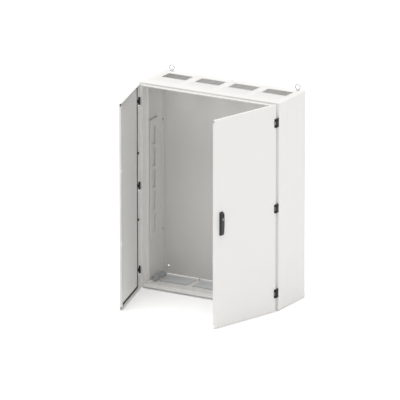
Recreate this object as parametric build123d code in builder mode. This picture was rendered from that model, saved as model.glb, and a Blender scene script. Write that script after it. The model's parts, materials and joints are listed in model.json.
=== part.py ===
"""Two-leaf steel distribution cabinet with its doors standing open.

Frame: origin at the centre of the body's underside, +X to the right of a person facing the doors,
+Y to the back, +Z up. All sizes are in millimetres.
"""
from build123d import *
from math import cos, pi, radians, sin
import os

os.makedirs("parts", exist_ok=True)

# ---------------------------------------------------------------- driving dimensions: body
body_w = 1050.0  # outside width
body_h = 1400.0  # outside height
body_d = 350.0  # outside depth, without the doors
sheet = 1.5  # sheet steel of the body and of the doors
tray_d = 27.0  # depth of the folded rear tray
field = 250.0  # width of one equipment field
row = 150.0  # height of one equipment row
edge_margin = 50.0  # width that the fields leave over

flange_l = 208.0  # long side of a cable entry
flange_w = 125.0  # short side of a cable entry
flange_back = 45.0  # from the back face to a roof or floor entry
ledge_w = 12.0  # ledge round a roof entry, for its gland plate
ledge_drop = 3.0  # roof to the ledge
flange_side_z = 78.5  # from the floor or roof face to a side entry
knockout_gap = 0.5  # cut line round a knock-out
knockout_bridge = 4.0  # width of a bridge that holds a knock-out
gland_overlap = 8.0  # how far a gland plate rests on the floor sheet
gland_plate_t = 2.0
gland_gasket_t = 1.5
gland_screw_r = 3.5
gland_screw_h = 2.0

# ---------------------------------------------------------------- driving dimensions: front frame
band_side = 25.0  # flat band beside the door opening
band_end = 14.0  # flat band above and below the door opening
lip_side = 12.0  # width of the sealing lip at the sides
lip_end = 9.0  # width of the sealing lip above and below
lip_h = 16.0  # how far the sealing lip stands forward
return_d = 32.0  # depth of the frame behind the front plane
flange_in_side = 19.0  # inward flange of a post
flange_in_end = 12.0  # inward flange of a rail

# ---------------------------------------------------------------- driving dimensions: doors
open_deg = 73.45  # how far the leaves stand open at rest
pan_d = 19.0  # depth of the folded door pan
pan_gap = 3.0  # closed door to front frame
leaf_setback = 1.0  # closed door edge to the body's side
leaf_end_gap = 3.0  # closed door edge to the body's top and bottom
seam_x = -21.0  # centre of the seam between the leaves
seam_gap = 3.0
corner_relief = 20.5  # how far the free edge's deep fold stops short of the leaf's ends
seal_w = 12.0
seal_from_seam = 4.5  # free edge to the seal beside it
clip_w = 10.0  # clips beside the seal
clip_l = 14.0
clip_h = 8.0
clip_hinge_side = 8.0  # clip to the hinge edge
clip_free_side = 20.0  # clip to the free edge
stiffener_w = 48.0  # flat strip inside a leaf, beside the seal
stiffener_t = 1.0
seal_gap = 0.3  # seal to what it closes against
pin_proud = 6.0  # hinge pin in front of the door face
pin_inset = 1.5  # hinge pin to the body's side

# ---------------------------------------------------------------- driving dimensions: hinges
hinge_h = 58.0
hinge_end_z = 125.0  # centre of an end hinge to the body's end
pin_r = 2.5
barrel_r = 5.5
mid_knuckle_h = 22.0
running = 0.05  # radial clearance of a running fit
part_gap = 0.3  # between pieces on different bodies
over = 1.0  # how far a cut runs past the face that it opens
block_w = 10.0  # fixed hinge block on the frame's band
block_d = 14.0
wing_w = 16.0  # hinge wing on the door face
wing_t = 3.0
wing_step = 4.0  # fixed block to the hinge wing
notch_gap = 1.0  # clearance of a leaf's hinge notches

# ---------------------------------------------------------------- driving dimensions: handle and lock
handle_l = 158.0
handle_w = 32.0
handle_edge = 39.0  # door's free edge to the handle base
base_t = 8.0
base_corner_r = 5.0
base_chamfer = 1.5
lever_w = 26.0
lever_end_t = 8.0
lever_bow_t = 13.0
spindle_drop = 24.0  # top of the handle base to the spindle
spindle_side = 8.0
hub_r = 12.0
hub_hole_r = 10.0  # spindle hole in the door
tilt_drop = 14.0  # top of the handle base to the tilt pin
tilt_pin_r = 2.0
ear_w = 10.0
ear_step = 1.0  # lever's round head to the ear's
cylinder_r = 8.5
cylinder_floor = 1.5  # lever's back to the cylinder
cylinder_proud = 0.5
key_slot_w = 2.4
key_slot_l = 9.0
key_slot_d = 5.5
cylinder_drop = 47.0  # top of the handle base to the lock cylinder
pitch_r = 12.0  # pinion that drives the lock bars
teeth = 16
tooth_w = 1.8
tooth_h = 2.2
mesh = 1.5  # how deep the teeth mesh
head_r = 5.7  # rounding of the lever's head about its pin
rod_w = 6.0
gear_offset = 5.5  # pinion behind the door sheet
case_gap = 1.5  # clearance inside the lock case
hook_gap = 2.2  # lock hook behind the rebate strip
guide_reach = 160.0
guide_l = 12.0
guide_wall = 3.5
hook_reach = 227.0  # lock hooks above and below the cabinet's middle
hook_h = 16.0
hook_t = 4.0
hook_slot_edge = 2.0  # passive leaf's edge to a hook slot
rebate_w = 21.5  # rebate strip beyond the passive leaf's edge

# ---------------------------------------------------------------- driving dimensions: small parts
bolt_r = 3.5  # slide bolts of the passive leaf
bolt_throw = 9.0
bolt_from_seam = 11.0
bolt_off_seal = 1.3  # a bolt's lug to the seal beside it
bolt_draw = 3.0  # drawn-back bolt to the frame's return
bolt_l = 70.0  # frame's return to the bolt's inner end
bolt_tab = 12.0  # finger tab beyond the bolt
bolt_tab_t = 3.0
lug_h = 8.0  # lugs that guide a bolt
eye_inset_x = 52.0
eye_inset_y = 12.0
eye_ring_r = 17.5
eye_wire_r = 4.0
eye_shank_r = 5.0
eye_collar_r = 9.0
eye_collar_h = 4.0
eye_shank_l = 13.0
eye_nut_h = 8.0
rail_w = 106.0
rail_stand = 10.0
rail_margin = 3.5  # side rail to the side entries
window_w = 46.0
window_h = 126.0
corner_rail_w = 45.0
corner_rail_t = 2.0
corner_bolt_z = 375.0  # corner rail bolts above and below the middle
corner_bolt_r = 3.0
corner_head_r = 8.0
corner_head_h = 5.5
earth_side = 18.0  # earth bar to the body's side
earth_w = 16.0
earth_t = 8.0
earth_z = 16.0  # height of the earth bar's underside
earth_l = 128.0
earth_foot_y = 18.0  # front foot of the earth bar
clamp_l = 10.0
clamp_pitch = 14.0
clamps_n = 6
clamp_h = 9.0
clamp_screw_r = 3.5
clamp_screw_h = 3.0
main_clamp_w = 26.0
main_clamp_l = 24.0
main_clamp_h = 38.0
main_cap_r = 10.0
main_cap_t = 5.0
main_cap_z = 22.0
stud_r = 4.0
stud_l = 20.5
stud_back = 10.0  # stud behind a floor entry
stud_nut_r = 7.5
stud_nut_h = 6.5
wall_hole_r = 5.5
wall_hole_x = 20.0  # wall fixing hole to the body's side
wall_hole_z = 60.0  # wall fixing hole to the body's end

# ---------------------------------------------------------------- values worked out from them
half_w = body_w / 2
half_d = body_d / 2
mid_z = body_h / 2
front_y = -half_d
fields = int((body_w - edge_margin) // field)
field_x = [(i - (fields - 1) / 2) * field for i in range(fields)]
flange_y = half_d - flange_back - flange_w / 2
side_entry_z = (flange_side_z + flange_l / 2, body_h - flange_side_z - flange_l / 2)
lip_front_y = front_y - lip_h
frame_in_x = half_w - band_side - lip_side
frame_in_z = band_end + lip_end
face_y = front_y - pan_gap - pan_d
pin_x = half_w - pin_inset
pin_y = face_y - pin_proud
hinge_z = (hinge_end_z, mid_z, body_h - hinge_end_z)
face_z = -pin_proud
inner_z = face_z - sheet
fold_z = face_z - pan_d
leaf_edge = pin_inset - leaf_setback
leaf_z0 = leaf_end_gap
leaf_z1 = body_h - leaf_end_gap
leaf_w = {
    1: half_w - leaf_setback - seam_x - seam_gap / 2,
    -1: half_w - leaf_setback + seam_x - seam_gap / 2,
}
side_name = {1: "right", -1: "left"}
seal_h = lip_front_y - seal_gap - (face_y + sheet)
travel = pitch_r * pi / 2
bolt_plane = pin_proud + sheet + seal_h + bolt_off_seal + sheet + bolt_r  # bolt axis behind the hinge pins


def leaf_plane(side):
    """Plane of an open leaf: origin on its hinge pin, x to the right, y up, z out of the door face."""
    turn = radians(open_deg)
    return Plane(
        origin=(side * pin_x, pin_y, 0),
        x_dir=(cos(turn), side * sin(turn), 0),
        z_dir=(side * sin(turn), -cos(turn), 0),
    )


def block(x, y, z, mode=Mode.ADD):
    """Rectangular block between two limits on each axis of the part's own plane."""
    with Locations(((x[0] + x[1]) / 2, (y[0] + y[1]) / 2, (z[0] + z[1]) / 2)):
        Box(abs(x[1] - x[0]), abs(y[1] - y[0]), abs(z[1] - z[0]), mode=mode)


def rod(x, y, z, radius, mode=Mode.ADD):
    """Upright cylinder between two heights."""
    with Locations((x, y, (z[0] + z[1]) / 2)):
        Cylinder(radius, abs(z[1] - z[0]), mode=mode)


def cross_rod(x, y, z, radius, mode=Mode.ADD):
    """Cylinder along the y axis between two limits."""
    with Locations((x, (y[0] + y[1]) / 2, z)):
        Cylinder(radius, abs(y[1] - y[0]), rotation=(90, 0, 0), mode=mode)


def side_rod(x, y, z, radius, mode=Mode.ADD):
    """Cylinder along the x axis between two limits."""
    with Locations(((x[0] + x[1]) / 2, y, z)):
        Cylinder(radius, abs(x[1] - x[0]), rotation=(0, 90, 0), mode=mode)


def write(piece, name):
    """Label a finished piece and write its STEP file."""
    piece.part.label = name
    export_step(piece.part, f"parts/{name}.step")


# ================================================================ body shell
def roof():
    """Roof sheet with open cable entries, each with a sunk ledge, and the two eyebolt holes."""
    entries = [(x, flange_y) for x in field_x]
    with BuildPart() as piece:
        with BuildSketch(Plane.XY.offset(body_h - sheet)):
            Rectangle(body_w, body_d)
            with Locations(*entries):
                Rectangle(flange_l, flange_w, mode=Mode.SUBTRACT)
            with Locations(*[(s * (half_w - eye_inset_x), half_d - eye_inset_y) for s in (1, -1)]):
                Circle(eye_shank_r + part_gap, mode=Mode.SUBTRACT)
        extrude(amount=sheet)
        with BuildSketch(Plane.XY.offset(body_h - ledge_drop - sheet)):
            with Locations(*entries):
                Rectangle(flange_l + 2 * sheet, flange_w + 2 * sheet)
                Rectangle(flange_l, flange_w, mode=Mode.SUBTRACT)
        extrude(amount=ledge_drop + sheet)
        with BuildSketch(Plane.XY.offset(body_h - ledge_drop - sheet)):
            with Locations(*entries):
                Rectangle(flange_l, flange_w)
                Rectangle(flange_l - 2 * ledge_w, flange_w - 2 * ledge_w, mode=Mode.SUBTRACT)
        extrude(amount=sheet)
    write(piece, "roof")


def floor_sheet():
    """Floor sheet with the entries that the gland plates close."""
    with BuildPart() as piece:
        with BuildSketch(Plane.XY):
            Rectangle(body_w, body_d)
            with Locations(*[(x, flange_y) for x in field_x]):
                Rectangle(flange_l - 2 * gland_overlap, flange_w - 2 * gland_overlap, mode=Mode.SUBTRACT)
        extrude(amount=sheet)
    write(piece, "floor")


def side_wall(side):
    """Side sheet between floor and roof, from the front plane to the rear tray."""
    outer = Plane(origin=(side * half_w, 0, 0), x_dir=(0, side, 0), z_dir=(side, 0, 0))
    with BuildPart() as piece:
        with BuildSketch(outer.offset(-sheet)):
            with Locations((-side * tray_d / 2, mid_z)):
                Rectangle(body_d - tray_d, body_h - 2 * sheet)
            with Locations(*[(0, z) for z in side_entry_z]):
                Rectangle(flange_w, flange_l, mode=Mode.SUBTRACT)
        extrude(amount=sheet)
    write(piece, f"{side_name[side]}_side_wall")


def side_knockouts(side):
    """Two cut-round plates in a side wall, each still held by four small bridges."""
    outer = Plane(origin=(side * half_w, 0, 0), x_dir=(0, side, 0), z_dir=(side, 0, 0))
    with BuildPart() as piece:
        with BuildSketch(outer.offset(-sheet)):
            with Locations(*[(0, z) for z in side_entry_z]):
                Rectangle(flange_w - 2 * knockout_gap, flange_l - 2 * knockout_gap)
                Rectangle(flange_w, knockout_bridge)
                Rectangle(knockout_bridge, flange_l)
        extrude(amount=sheet)
    write(piece, f"{side_name[side]}_side_knockouts")


def back_tray():
    """Rear tray: the back sheet with its two side flanges, and the four wall fixing holes."""
    holes = [(sx * (half_w - wall_hole_x), z) for sx in (1, -1) for z in (wall_hole_z, body_h - wall_hole_z)]
    with BuildPart() as piece:
        with BuildSketch(Plane.XY.offset(sheet)):
            with BuildLine():
                Polyline(
                    (-half_w, half_d - tray_d),
                    (-half_w, half_d),
                    (half_w, half_d),
                    (half_w, half_d - tray_d),
                    (half_w - sheet, half_d - tray_d),
                    (half_w - sheet, half_d - sheet),
                    (-half_w + sheet, half_d - sheet),
                    (-half_w + sheet, half_d - tray_d),
                    close=True,
                )
            make_face()
        extrude(amount=body_h - 2 * sheet)
        for x, z in holes:
            cross_rod(x, (half_d - 3 * sheet, half_d + sheet), z, wall_hole_r, Mode.SUBTRACT)
    write(piece, "back_tray")


# ================================================================ front frame
def frame_post(side):
    """Upright of the front frame: flat band, sealing lip, return and inward flange."""
    lip_out = half_w - band_side
    z = (band_end, body_h - band_end)
    with BuildPart() as piece:
        block((side * (half_w - sheet), side * lip_out), (front_y, front_y + sheet), (sheet, body_h - sheet))
        block((side * lip_out, side * (lip_out - sheet)), (lip_front_y, front_y + sheet), z)
        block((side * lip_out, side * frame_in_x), (lip_front_y, lip_front_y + sheet), z)
        block((side * frame_in_x, side * (frame_in_x + sheet)), (lip_front_y, front_y + return_d), z)
        block(
            (side * (frame_in_x + sheet), side * (frame_in_x - flange_in_side)),
            (front_y + return_d - sheet, front_y + return_d),
            z,
        )
    write(piece, f"{side_name[side]}_frame_post")


def frame_rail(end):
    """Head or sill between the posts, with the passive bolt's hole; end is 1 at the top, -1 at the bottom."""

    def height(distance):
        return body_h - distance if end == 1 else distance

    x_band = (-half_w + band_side, half_w - band_side)
    x_lip = (-frame_in_x, frame_in_x)
    x_flange = (-frame_in_x + flange_in_side, frame_in_x - flange_in_side)
    inner = height(frame_in_z)
    with BuildPart() as piece:
        block(x_band, (front_y, front_y + sheet), (height(sheet), height(band_end)))
        block(x_lip, (lip_front_y, front_y + sheet), (height(band_end), height(band_end + sheet)))
        block(x_lip, (lip_front_y, lip_front_y + sheet), (height(band_end), inner))
        block(x_lip, (lip_front_y, front_y + return_d - sheet), (height(frame_in_z - sheet), inner))
        block(
            x_flange,
            (front_y + return_d - sheet, front_y + return_d),
            (height(frame_in_z - sheet), height(frame_in_z + flange_in_end)),
        )
        rod(
            -half_w + leaf_setback + leaf_w[-1] - bolt_from_seam,
            pin_y + bolt_plane,
            (height(frame_in_z - sheet - over), height(frame_in_z + over)),
            bolt_r + part_gap,
            Mode.SUBTRACT,
        )
    write(piece, "frame_head" if end == 1 else "frame_sill")


# ================================================================ inside the body
def side_rail(side):
    """Ladder rail on a side wall with one window for each equipment row."""
    bottom = flange_side_z + flange_l + rail_margin
    top = body_h - bottom
    windows = int((top - bottom) // row)
    wall_x = half_w - sheet
    face = wall_x - rail_stand
    window_z = [mid_z + (i - (windows - 1) / 2) * row for i in range(windows)]
    with BuildPart() as piece:
        block((side * face, side * (face + sheet)), (-rail_w / 2, rail_w / 2), (bottom, top))
        for y in (-1, 1):
            block((side * face, side * wall_x), (y * rail_w / 2, y * (rail_w / 2 - sheet)), (bottom, top))
        for z in window_z:
            block(
                (side * (face - over), side * (face + sheet + over)),
                (-window_w / 2, window_w / 2),
                (z - window_h / 2, z + window_h / 2),
                Mode.SUBTRACT,
            )
    write(piece, f"{side_name[side]}_side_rail")


def corner_rail(side):
    """Flat strip that stiffens a rear corner, with a hole for each of its bolts."""
    x = (side * (half_w - sheet), side * (half_w - sheet - corner_rail_t))
    back = half_d - tray_d
    with BuildPart() as piece:
        block(x, (back - corner_rail_w, back), (4 * sheet, body_h - 4 * sheet))
        for dz in (-corner_bolt_z, corner_bolt_z):
            side_rod(x, back - corner_rail_w / 2, mid_z + dz, corner_bolt_r + running, Mode.SUBTRACT)
    write(piece, f"{side_name[side]}_corner_rail")


def corner_bolts(side):
    """Two hexagon bolts that hold a corner rail to the side wall."""
    wall_x = half_w - sheet
    head_x = wall_x - corner_rail_t
    y = half_d - tray_d - corner_rail_w / 2
    with BuildPart() as piece:
        for dz in (-corner_bolt_z, corner_bolt_z):
            side_rod((side * wall_x, side * head_x), y, mid_z + dz, corner_bolt_r)
            head = Plane(origin=(side * head_x, y, mid_z + dz), x_dir=(0, 1, 0), z_dir=(-side, 0, 0))
            with BuildSketch(head):
                RegularPolygon(corner_head_r, 6)
            extrude(amount=corner_head_h)
    write(piece, f"{side_name[side]}_corner_bolts")


def gland_plates():
    """Floor gland plates on their seals, with a screw in each corner."""
    seal_top = sheet + gland_gasket_t
    plate_top = seal_top + gland_plate_t
    screw_x = flange_l / 2 - gland_overlap / 2
    screw_y = flange_w / 2 - gland_overlap / 2
    signs = [(sx, sy) for sx in (1, -1) for sy in (1, -1)]
    screws = [(x + sx * screw_x, flange_y + sy * screw_y) for x in field_x for sx, sy in signs]
    with BuildPart() as seals:
        with BuildSketch(Plane.XY.offset(sheet)):
            with Locations(*[(x, flange_y) for x in field_x]):
                Rectangle(flange_l, flange_w)
                Rectangle(flange_l - 2 * gland_overlap, flange_w - 2 * gland_overlap, mode=Mode.SUBTRACT)
        extrude(amount=gland_gasket_t)
    write(seals, "gland_plate_seals")
    with BuildPart() as plates:
        with BuildSketch(Plane.XY.offset(seal_top)):
            with Locations(*[(x, flange_y) for x in field_x]):
                Rectangle(flange_l, flange_w)
        extrude(amount=gland_plate_t)
    write(plates, "gland_plates")
    with BuildPart() as heads:
        with BuildSketch(Plane.XY.offset(plate_top)):
            with Locations(*screws):
                Circle(gland_screw_r)
        extrude(amount=gland_screw_h)
    write(heads, "gland_plate_screws")


def earthing():
    """Earth bar on two feet beside the left wall, its clamps, its main clamp and the floor studs."""
    bar_x = (-half_w + earth_side, -half_w + earth_side + earth_w)
    bar_mid = (bar_x[0] + bar_x[1]) / 2
    bar_z = (earth_z, earth_z + earth_t)
    bar_y = (0.0, earth_l)
    clamp_half = clamp_l / 2
    clamp_y = [earth_foot_y + clamp_l + clamp_pitch * i for i in range(clamps_n)]
    clamp_top = bar_z[1] + clamp_h
    with BuildPart() as feet:
        for y in (earth_foot_y, earth_l - clamp_l):
            block(bar_x, (y - clamp_half, y + clamp_half), (sheet, bar_z[0]))
    write(feet, "earth_bar_feet")
    with BuildPart() as bar:
        block(bar_x, bar_y, bar_z)
    write(bar, "earth_bar")
    with BuildPart() as clamps:
        for y in clamp_y:
            block((bar_x[0] + over, bar_x[1] - over), (y - clamp_half, y + clamp_half), (bar_z[1], clamp_top))
            rod(bar_mid, y, (clamp_top, clamp_top + clamp_screw_h), clamp_screw_r)
    write(clamps, "earth_clamps")
    with BuildPart() as main_clamp:
        half = main_clamp_w / 2
        block((bar_mid - half, bar_mid + half), (-main_clamp_l, 0.0), (sheet, main_clamp_h))
        cap = (-main_clamp_l - main_cap_t, -main_clamp_l)
        cross_rod(bar_mid, cap, main_cap_z, main_cap_r)
    write(main_clamp, "main_earth_clamp")
    stud_x = [(a + b) / 2 for a, b in zip(field_x[:-1], field_x[1:])]
    stud_y = flange_y + flange_w / 2 + stud_back
    with BuildPart() as studs:
        for x in stud_x:
            rod(x, stud_y, (sheet, sheet + stud_l), stud_r)
            with BuildSketch(Plane.XY.offset(sheet)):
                with Locations((x, stud_y)):
                    RegularPolygon(stud_nut_r, 6)
            extrude(amount=stud_nut_h)
    write(studs, "earth_studs")


def eyebolt(side):
    """Lifting eye on the roof's rear corner, with its collar and shank, and the nut below the roof."""
    x = side * (half_w - eye_inset_x)
    y = half_d - eye_inset_y
    ring_z = body_h + eye_collar_h + eye_ring_r + eye_wire_r / 2
    with BuildPart() as piece:
        with Locations(Location((x, y, ring_z), (90, 0, 0))):
            Torus(eye_ring_r, eye_wire_r)
        rod(x, y, (body_h, body_h + eye_collar_h), eye_collar_r)
        rod(x, y, (body_h - eye_shank_l, body_h), eye_shank_r)
    write(piece, f"{side_name[side]}_eyebolt")
    with BuildPart() as nut:
        with BuildSketch(Plane.XY.offset(body_h - sheet - eye_nut_h)):
            with Locations((x, y)):
                RegularPolygon(eye_collar_r, 6)
                Circle(eye_shank_r + running, mode=Mode.SUBTRACT)
        extrude(amount=eye_nut_h)
    write(nut, f"{side_name[side]}_eyebolt_nut")


# ================================================================ doors
def edge_x(side, distance):
    """Local x of a point at this distance from the leaf's hinge edge, towards its free edge."""
    return side * (leaf_edge - distance)


def leaf_shell(side):
    """Folded door pan: the face, four folds, hinge notches and the holes of the handle."""
    width = leaf_w[side]
    notch_h = hinge_h + 2 * (part_gap + notch_gap)
    notch_w = block_w + 3 * notch_gap
    hinge_x = edge_x(side, 0)
    free_x = edge_x(side, width)
    with BuildPart(leaf_plane(side)) as piece:
        block((hinge_x, free_x), (leaf_z0, leaf_z1), (inner_z, face_z))
        block((hinge_x, free_x), (leaf_z1 - sheet, leaf_z1), (fold_z, inner_z))
        block((hinge_x, free_x), (leaf_z0, leaf_z0 + sheet), (fold_z, inner_z))
        block((hinge_x, edge_x(side, sheet)), (leaf_z0, leaf_z1), (fold_z, inner_z))
        free_fold = (free_x, edge_x(side, width - sheet))
        block(free_fold, (leaf_z0, leaf_z1), (inner_z - seal_h, inner_z))
        block(free_fold, (leaf_z0 + corner_relief, leaf_z1 - corner_relief), (fold_z, inner_z))
        for z in hinge_z:
            block(
                (edge_x(side, -over), edge_x(side, sheet + over)),
                (z - notch_h / 2, z + notch_h / 2),
                (fold_z - over, inner_z),
                Mode.SUBTRACT,
            )
            block(
                (edge_x(side, -over), edge_x(side, notch_w)),
                (z - mid_knuckle_h / 2 - notch_gap, z + mid_knuckle_h / 2 + notch_gap),
                (inner_z - over, face_z + over),
                Mode.SUBTRACT,
            )
        if side == 1:
            rod_out(handle_x, spindle_y, (inner_z - over, face_z + over), hub_hole_r, Mode.SUBTRACT)
    write(piece, f"{side_name[side]}_door_shell")


def leaf_seal(side):
    """Foamed seal round the inside of a leaf; on the active leaf it also meets the rebate strip."""
    width = leaf_w[side]
    lip_mid = band_side + lip_side / 2 - leaf_setback
    end_near = band_end + (lip_end - seal_w) / 2
    hinge_side = (edge_x(side, lip_mid - seal_w / 2), edge_x(side, lip_mid + seal_w / 2))
    free_side = (edge_x(side, width - seal_from_seam), edge_x(side, width - seal_from_seam - seal_w))
    z_low = (inner_z - seal_h, inner_z)
    with BuildPart(leaf_plane(side)) as piece:
        for x in (hinge_side, free_side):
            block(x, (end_near, body_h - end_near), z_low)
        for y in (end_near, body_h - end_near - seal_w):
            block((hinge_side[0], free_side[0]), (y, y + seal_w), z_low)
        if side == 1:
            tall = (frame_in_z + 2 * sheet, body_h - frame_in_z - 2 * sheet)
            block(free_side, tall, (fold_z, inner_z))
    write(piece, f"{side_name[side]}_door_seal")


def seal_clips(side):
    """Four small clips that hold the seal beside the leaf's upright edges."""
    width = leaf_w[side]
    hinge_side = (edge_x(side, clip_hinge_side), edge_x(side, clip_hinge_side + clip_w))
    free_side = (edge_x(side, width - clip_free_side), edge_x(side, width - clip_free_side - clip_w))
    with BuildPart(leaf_plane(side)) as piece:
        for x in (hinge_side, free_side):
            for dz in (-hook_reach, hook_reach):
                block(x, (mid_z + dz - clip_l / 2, mid_z + dz + clip_l / 2), (inner_z - clip_h, inner_z))
    write(piece, f"{side_name[side]}_seal_clips")


def stiffener(side):
    """Flat strip welded inside a leaf next to the seal, which takes the load of the hinges."""
    near = band_side + (lip_side + seal_w) / 2 - leaf_setback + part_gap
    y = (band_end + lip_end + seal_w, body_h - band_end - lip_end - seal_w)
    with BuildPart(leaf_plane(side)) as piece:
        block((edge_x(side, near), edge_x(side, near + stiffener_w)), y, (inner_z - stiffener_t, inner_z))
    write(piece, f"{side_name[side]}_door_stiffener")


def hinges(side):
    """Three external hinges of one leaf: fixed halves, door halves and pins."""
    block_x = half_w - pin_x
    knuckle = mid_knuckle_h / 2
    with BuildPart() as fixed:
        for z in hinge_z:
            outer = side * half_w
            block(
                (outer, outer - side * block_w),
                (front_y - block_d, front_y),
                (z - hinge_h / 2, z + hinge_h / 2),
            )
            block(
                (outer, outer - side * (block_x + barrel_r)),
                (pin_y, front_y - block_d),
                (z - knuckle, z + knuckle),
            )
            rod(side * pin_x, pin_y, (z - knuckle, z + knuckle), barrel_r)
            rod(side * pin_x, pin_y, (z - knuckle, z + knuckle), pin_r, Mode.SUBTRACT)
    write(fixed, f"{side_name[side]}_hinge_frame_halves")
    with BuildPart() as pins:
        for z in hinge_z:
            rod(side * pin_x, pin_y, (z - hinge_h / 2, z + hinge_h / 2), pin_r)
    write(pins, f"{side_name[side]}_hinge_pins")
    with BuildPart(leaf_plane(side)) as moving:
        for z in hinge_z:
            for end in (-1, 1):
                near = z + end * (knuckle + part_gap)
                far = z + end * hinge_h / 2
                upright_rod(0, (near, far), 0, barrel_r)
                block((0, edge_x(side, wing_w)), (near, far), (face_z, face_z + wing_t))
                upright_rod(0, (near, far), 0, pin_r + running, Mode.SUBTRACT)
            block(
                (edge_x(side, block_w + wing_step), edge_x(side, wing_w)),
                (z - hinge_h / 2, z + hinge_h / 2),
                (face_z, face_z + wing_t),
            )
    write(moving, f"{side_name[side]}_hinge_door_halves")


def upright_rod(x, y, z, radius, mode=Mode.ADD):
    """Cylinder along the local y axis of a leaf, between two heights."""
    with Locations((x, (y[0] + y[1]) / 2, z)):
        Cylinder(radius, abs(y[1] - y[0]), rotation=(90, 0, 0), mode=mode)


# ================================================================ handle and lock of the active leaf
leaf = leaf_plane(1)
base_top = mid_z + handle_l / 2
handle_x = edge_x(1, leaf_w[1] - handle_edge - handle_w / 2)
spindle_y = base_top - spindle_drop
tilt_y = base_top - tilt_drop
cylinder_y = base_top - cylinder_drop
base_front = face_z + base_t
lever_back = base_front + part_gap
tilt_z = lever_back + head_r
lever_top = tilt_y + head_r
lever_bottom = mid_z - handle_l / 2 + lever_w / 4
gear_z = (inner_z - gear_offset - rod_w, inner_z - gear_offset)
tooth_pitch = 2 * pi * pitch_r / teeth
tip_r = pitch_r + mesh / 2
root_r = tip_r - tooth_h
rack_tip = pitch_r - mesh / 2
rack_root = rack_tip + tooth_h
case_z = gear_z[0] - case_gap - sheet
hook_front = fold_z - part_gap - sheet - hook_gap


def handle_base():
    """Escutcheon of the swing handle, with a round seat for the hub."""
    with BuildPart(leaf) as piece:
        with BuildSketch(leaf.offset(face_z)):
            with Locations((handle_x, mid_z)):
                RectangleRounded(handle_w, handle_l, base_corner_r)
            with Locations((handle_x, spindle_y)):
                Circle(hub_r + part_gap, mode=Mode.SUBTRACT)
        extrude(amount=base_t)
        front_face = piece.faces().sort_by(Axis(leaf.origin, leaf.z_dir))[-1]
        chamfer(front_face.outer_wire().edges(), base_chamfer)
    write(piece, "handle_base")


def handle_hub():
    """Hub in the base with its square spindle and the ear that carries the lever."""
    half = spindle_side / 2
    ear_x = (handle_x - ear_w / 2, handle_x + ear_w / 2)
    ear_r = head_r - ear_step
    with BuildPart(leaf) as piece:
        rod_out(handle_x, spindle_y, (face_z + part_gap, base_front), hub_r)
        block(
            (handle_x - half, handle_x + half),
            (spindle_y - half, spindle_y + half),
            (gear_z[0], face_z + part_gap),
        )
        block(ear_x, (spindle_y - half, tilt_y + ear_r), (base_front, tilt_z))
        side_rod(ear_x, tilt_y, tilt_z, ear_r)
        side_rod(ear_x, tilt_y, tilt_z, tilt_pin_r, Mode.SUBTRACT)
    write(piece, "handle_hub")


def handle_tilt_pin():
    """Cross pin on which the lever tilts out of the base."""
    reach = lever_w / 2 - ear_step
    with BuildPart(leaf) as piece:
        side_rod((handle_x - reach, handle_x + reach), tilt_y, tilt_z, tilt_pin_r)
    write(piece, "handle_tilt_pin")


def handle_lever():
    """Bowed lever that hangs in front of the base, forked round the hub's ear."""
    start = leaf.from_local_coords((handle_x - lever_w / 2, 0, 0))
    side_view = Plane(origin=start, x_dir=(0, 0, 1), z_dir=leaf.x_dir)
    tip = (lever_bottom, lever_back + lever_end_t)
    crown = ((lever_bottom + tilt_y) / 2, lever_back + lever_bow_t)
    head = (tilt_y, tilt_z + head_r)
    heel = (tilt_y, lever_back)
    slot = ear_w / 2 + part_gap
    with BuildPart(leaf) as piece:
        with BuildSketch(side_view):
            with BuildLine():
                Line((lever_bottom, lever_back), tip)
                ThreePointArc(tip, crown, head)
                ThreePointArc(head, (lever_top, tilt_z), heel)
                Line(heel, (lever_bottom, lever_back))
            make_face()
        extrude(amount=lever_w)
        block(
            (handle_x - slot, handle_x + slot),
            (spindle_y - spindle_side / 2 - over, lever_top + over),
            (base_front, head[1] + over),
            Mode.SUBTRACT,
        )
        side_rod(
            (handle_x - lever_w, handle_x + lever_w), tilt_y, tilt_z, tilt_pin_r + running, Mode.SUBTRACT
        )
        bore = (lever_back + cylinder_floor, lever_back + 2 * lever_bow_t)
        rod_out(handle_x, cylinder_y, bore, cylinder_r + running, Mode.SUBTRACT)
    write(piece, "handle_lever")


def lock_cylinder():
    """Round lock core in the lever, with a key slot across its face."""
    front = lever_back + lever_bow_t + cylinder_proud
    with BuildPart(leaf) as piece:
        rod_out(handle_x, cylinder_y, (lever_back + cylinder_floor, front), cylinder_r)
        block(
            (handle_x - key_slot_w / 2, handle_x + key_slot_w / 2),
            (cylinder_y - key_slot_l / 2, cylinder_y + key_slot_l / 2),
            (front - key_slot_d, front + over),
            Mode.SUBTRACT,
        )
    write(piece, "lock_cylinder")


def rod_out(x, y, z, radius, mode=Mode.ADD):
    """Cylinder along the leaf's outward normal, between two local depths."""
    with Locations((x, y, (z[0] + z[1]) / 2)):
        Cylinder(radius, abs(z[1] - z[0]), mode=mode)


def lock_pinion():
    """Pinion on the spindle that drives both lock bars."""
    with BuildPart(leaf) as piece:
        with BuildSketch(leaf.offset(gear_z[0])):
            with Locations((handle_x, spindle_y)):
                Circle(root_r)
                with PolarLocations(tip_r - (tooth_h + over) / 2, teeth):
                    Rectangle(tooth_h + over, tooth_w)
                Rectangle(spindle_side, spindle_side, mode=Mode.SUBTRACT)
        extrude(amount=rod_w)
    write(piece, "lock_pinion")


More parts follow.
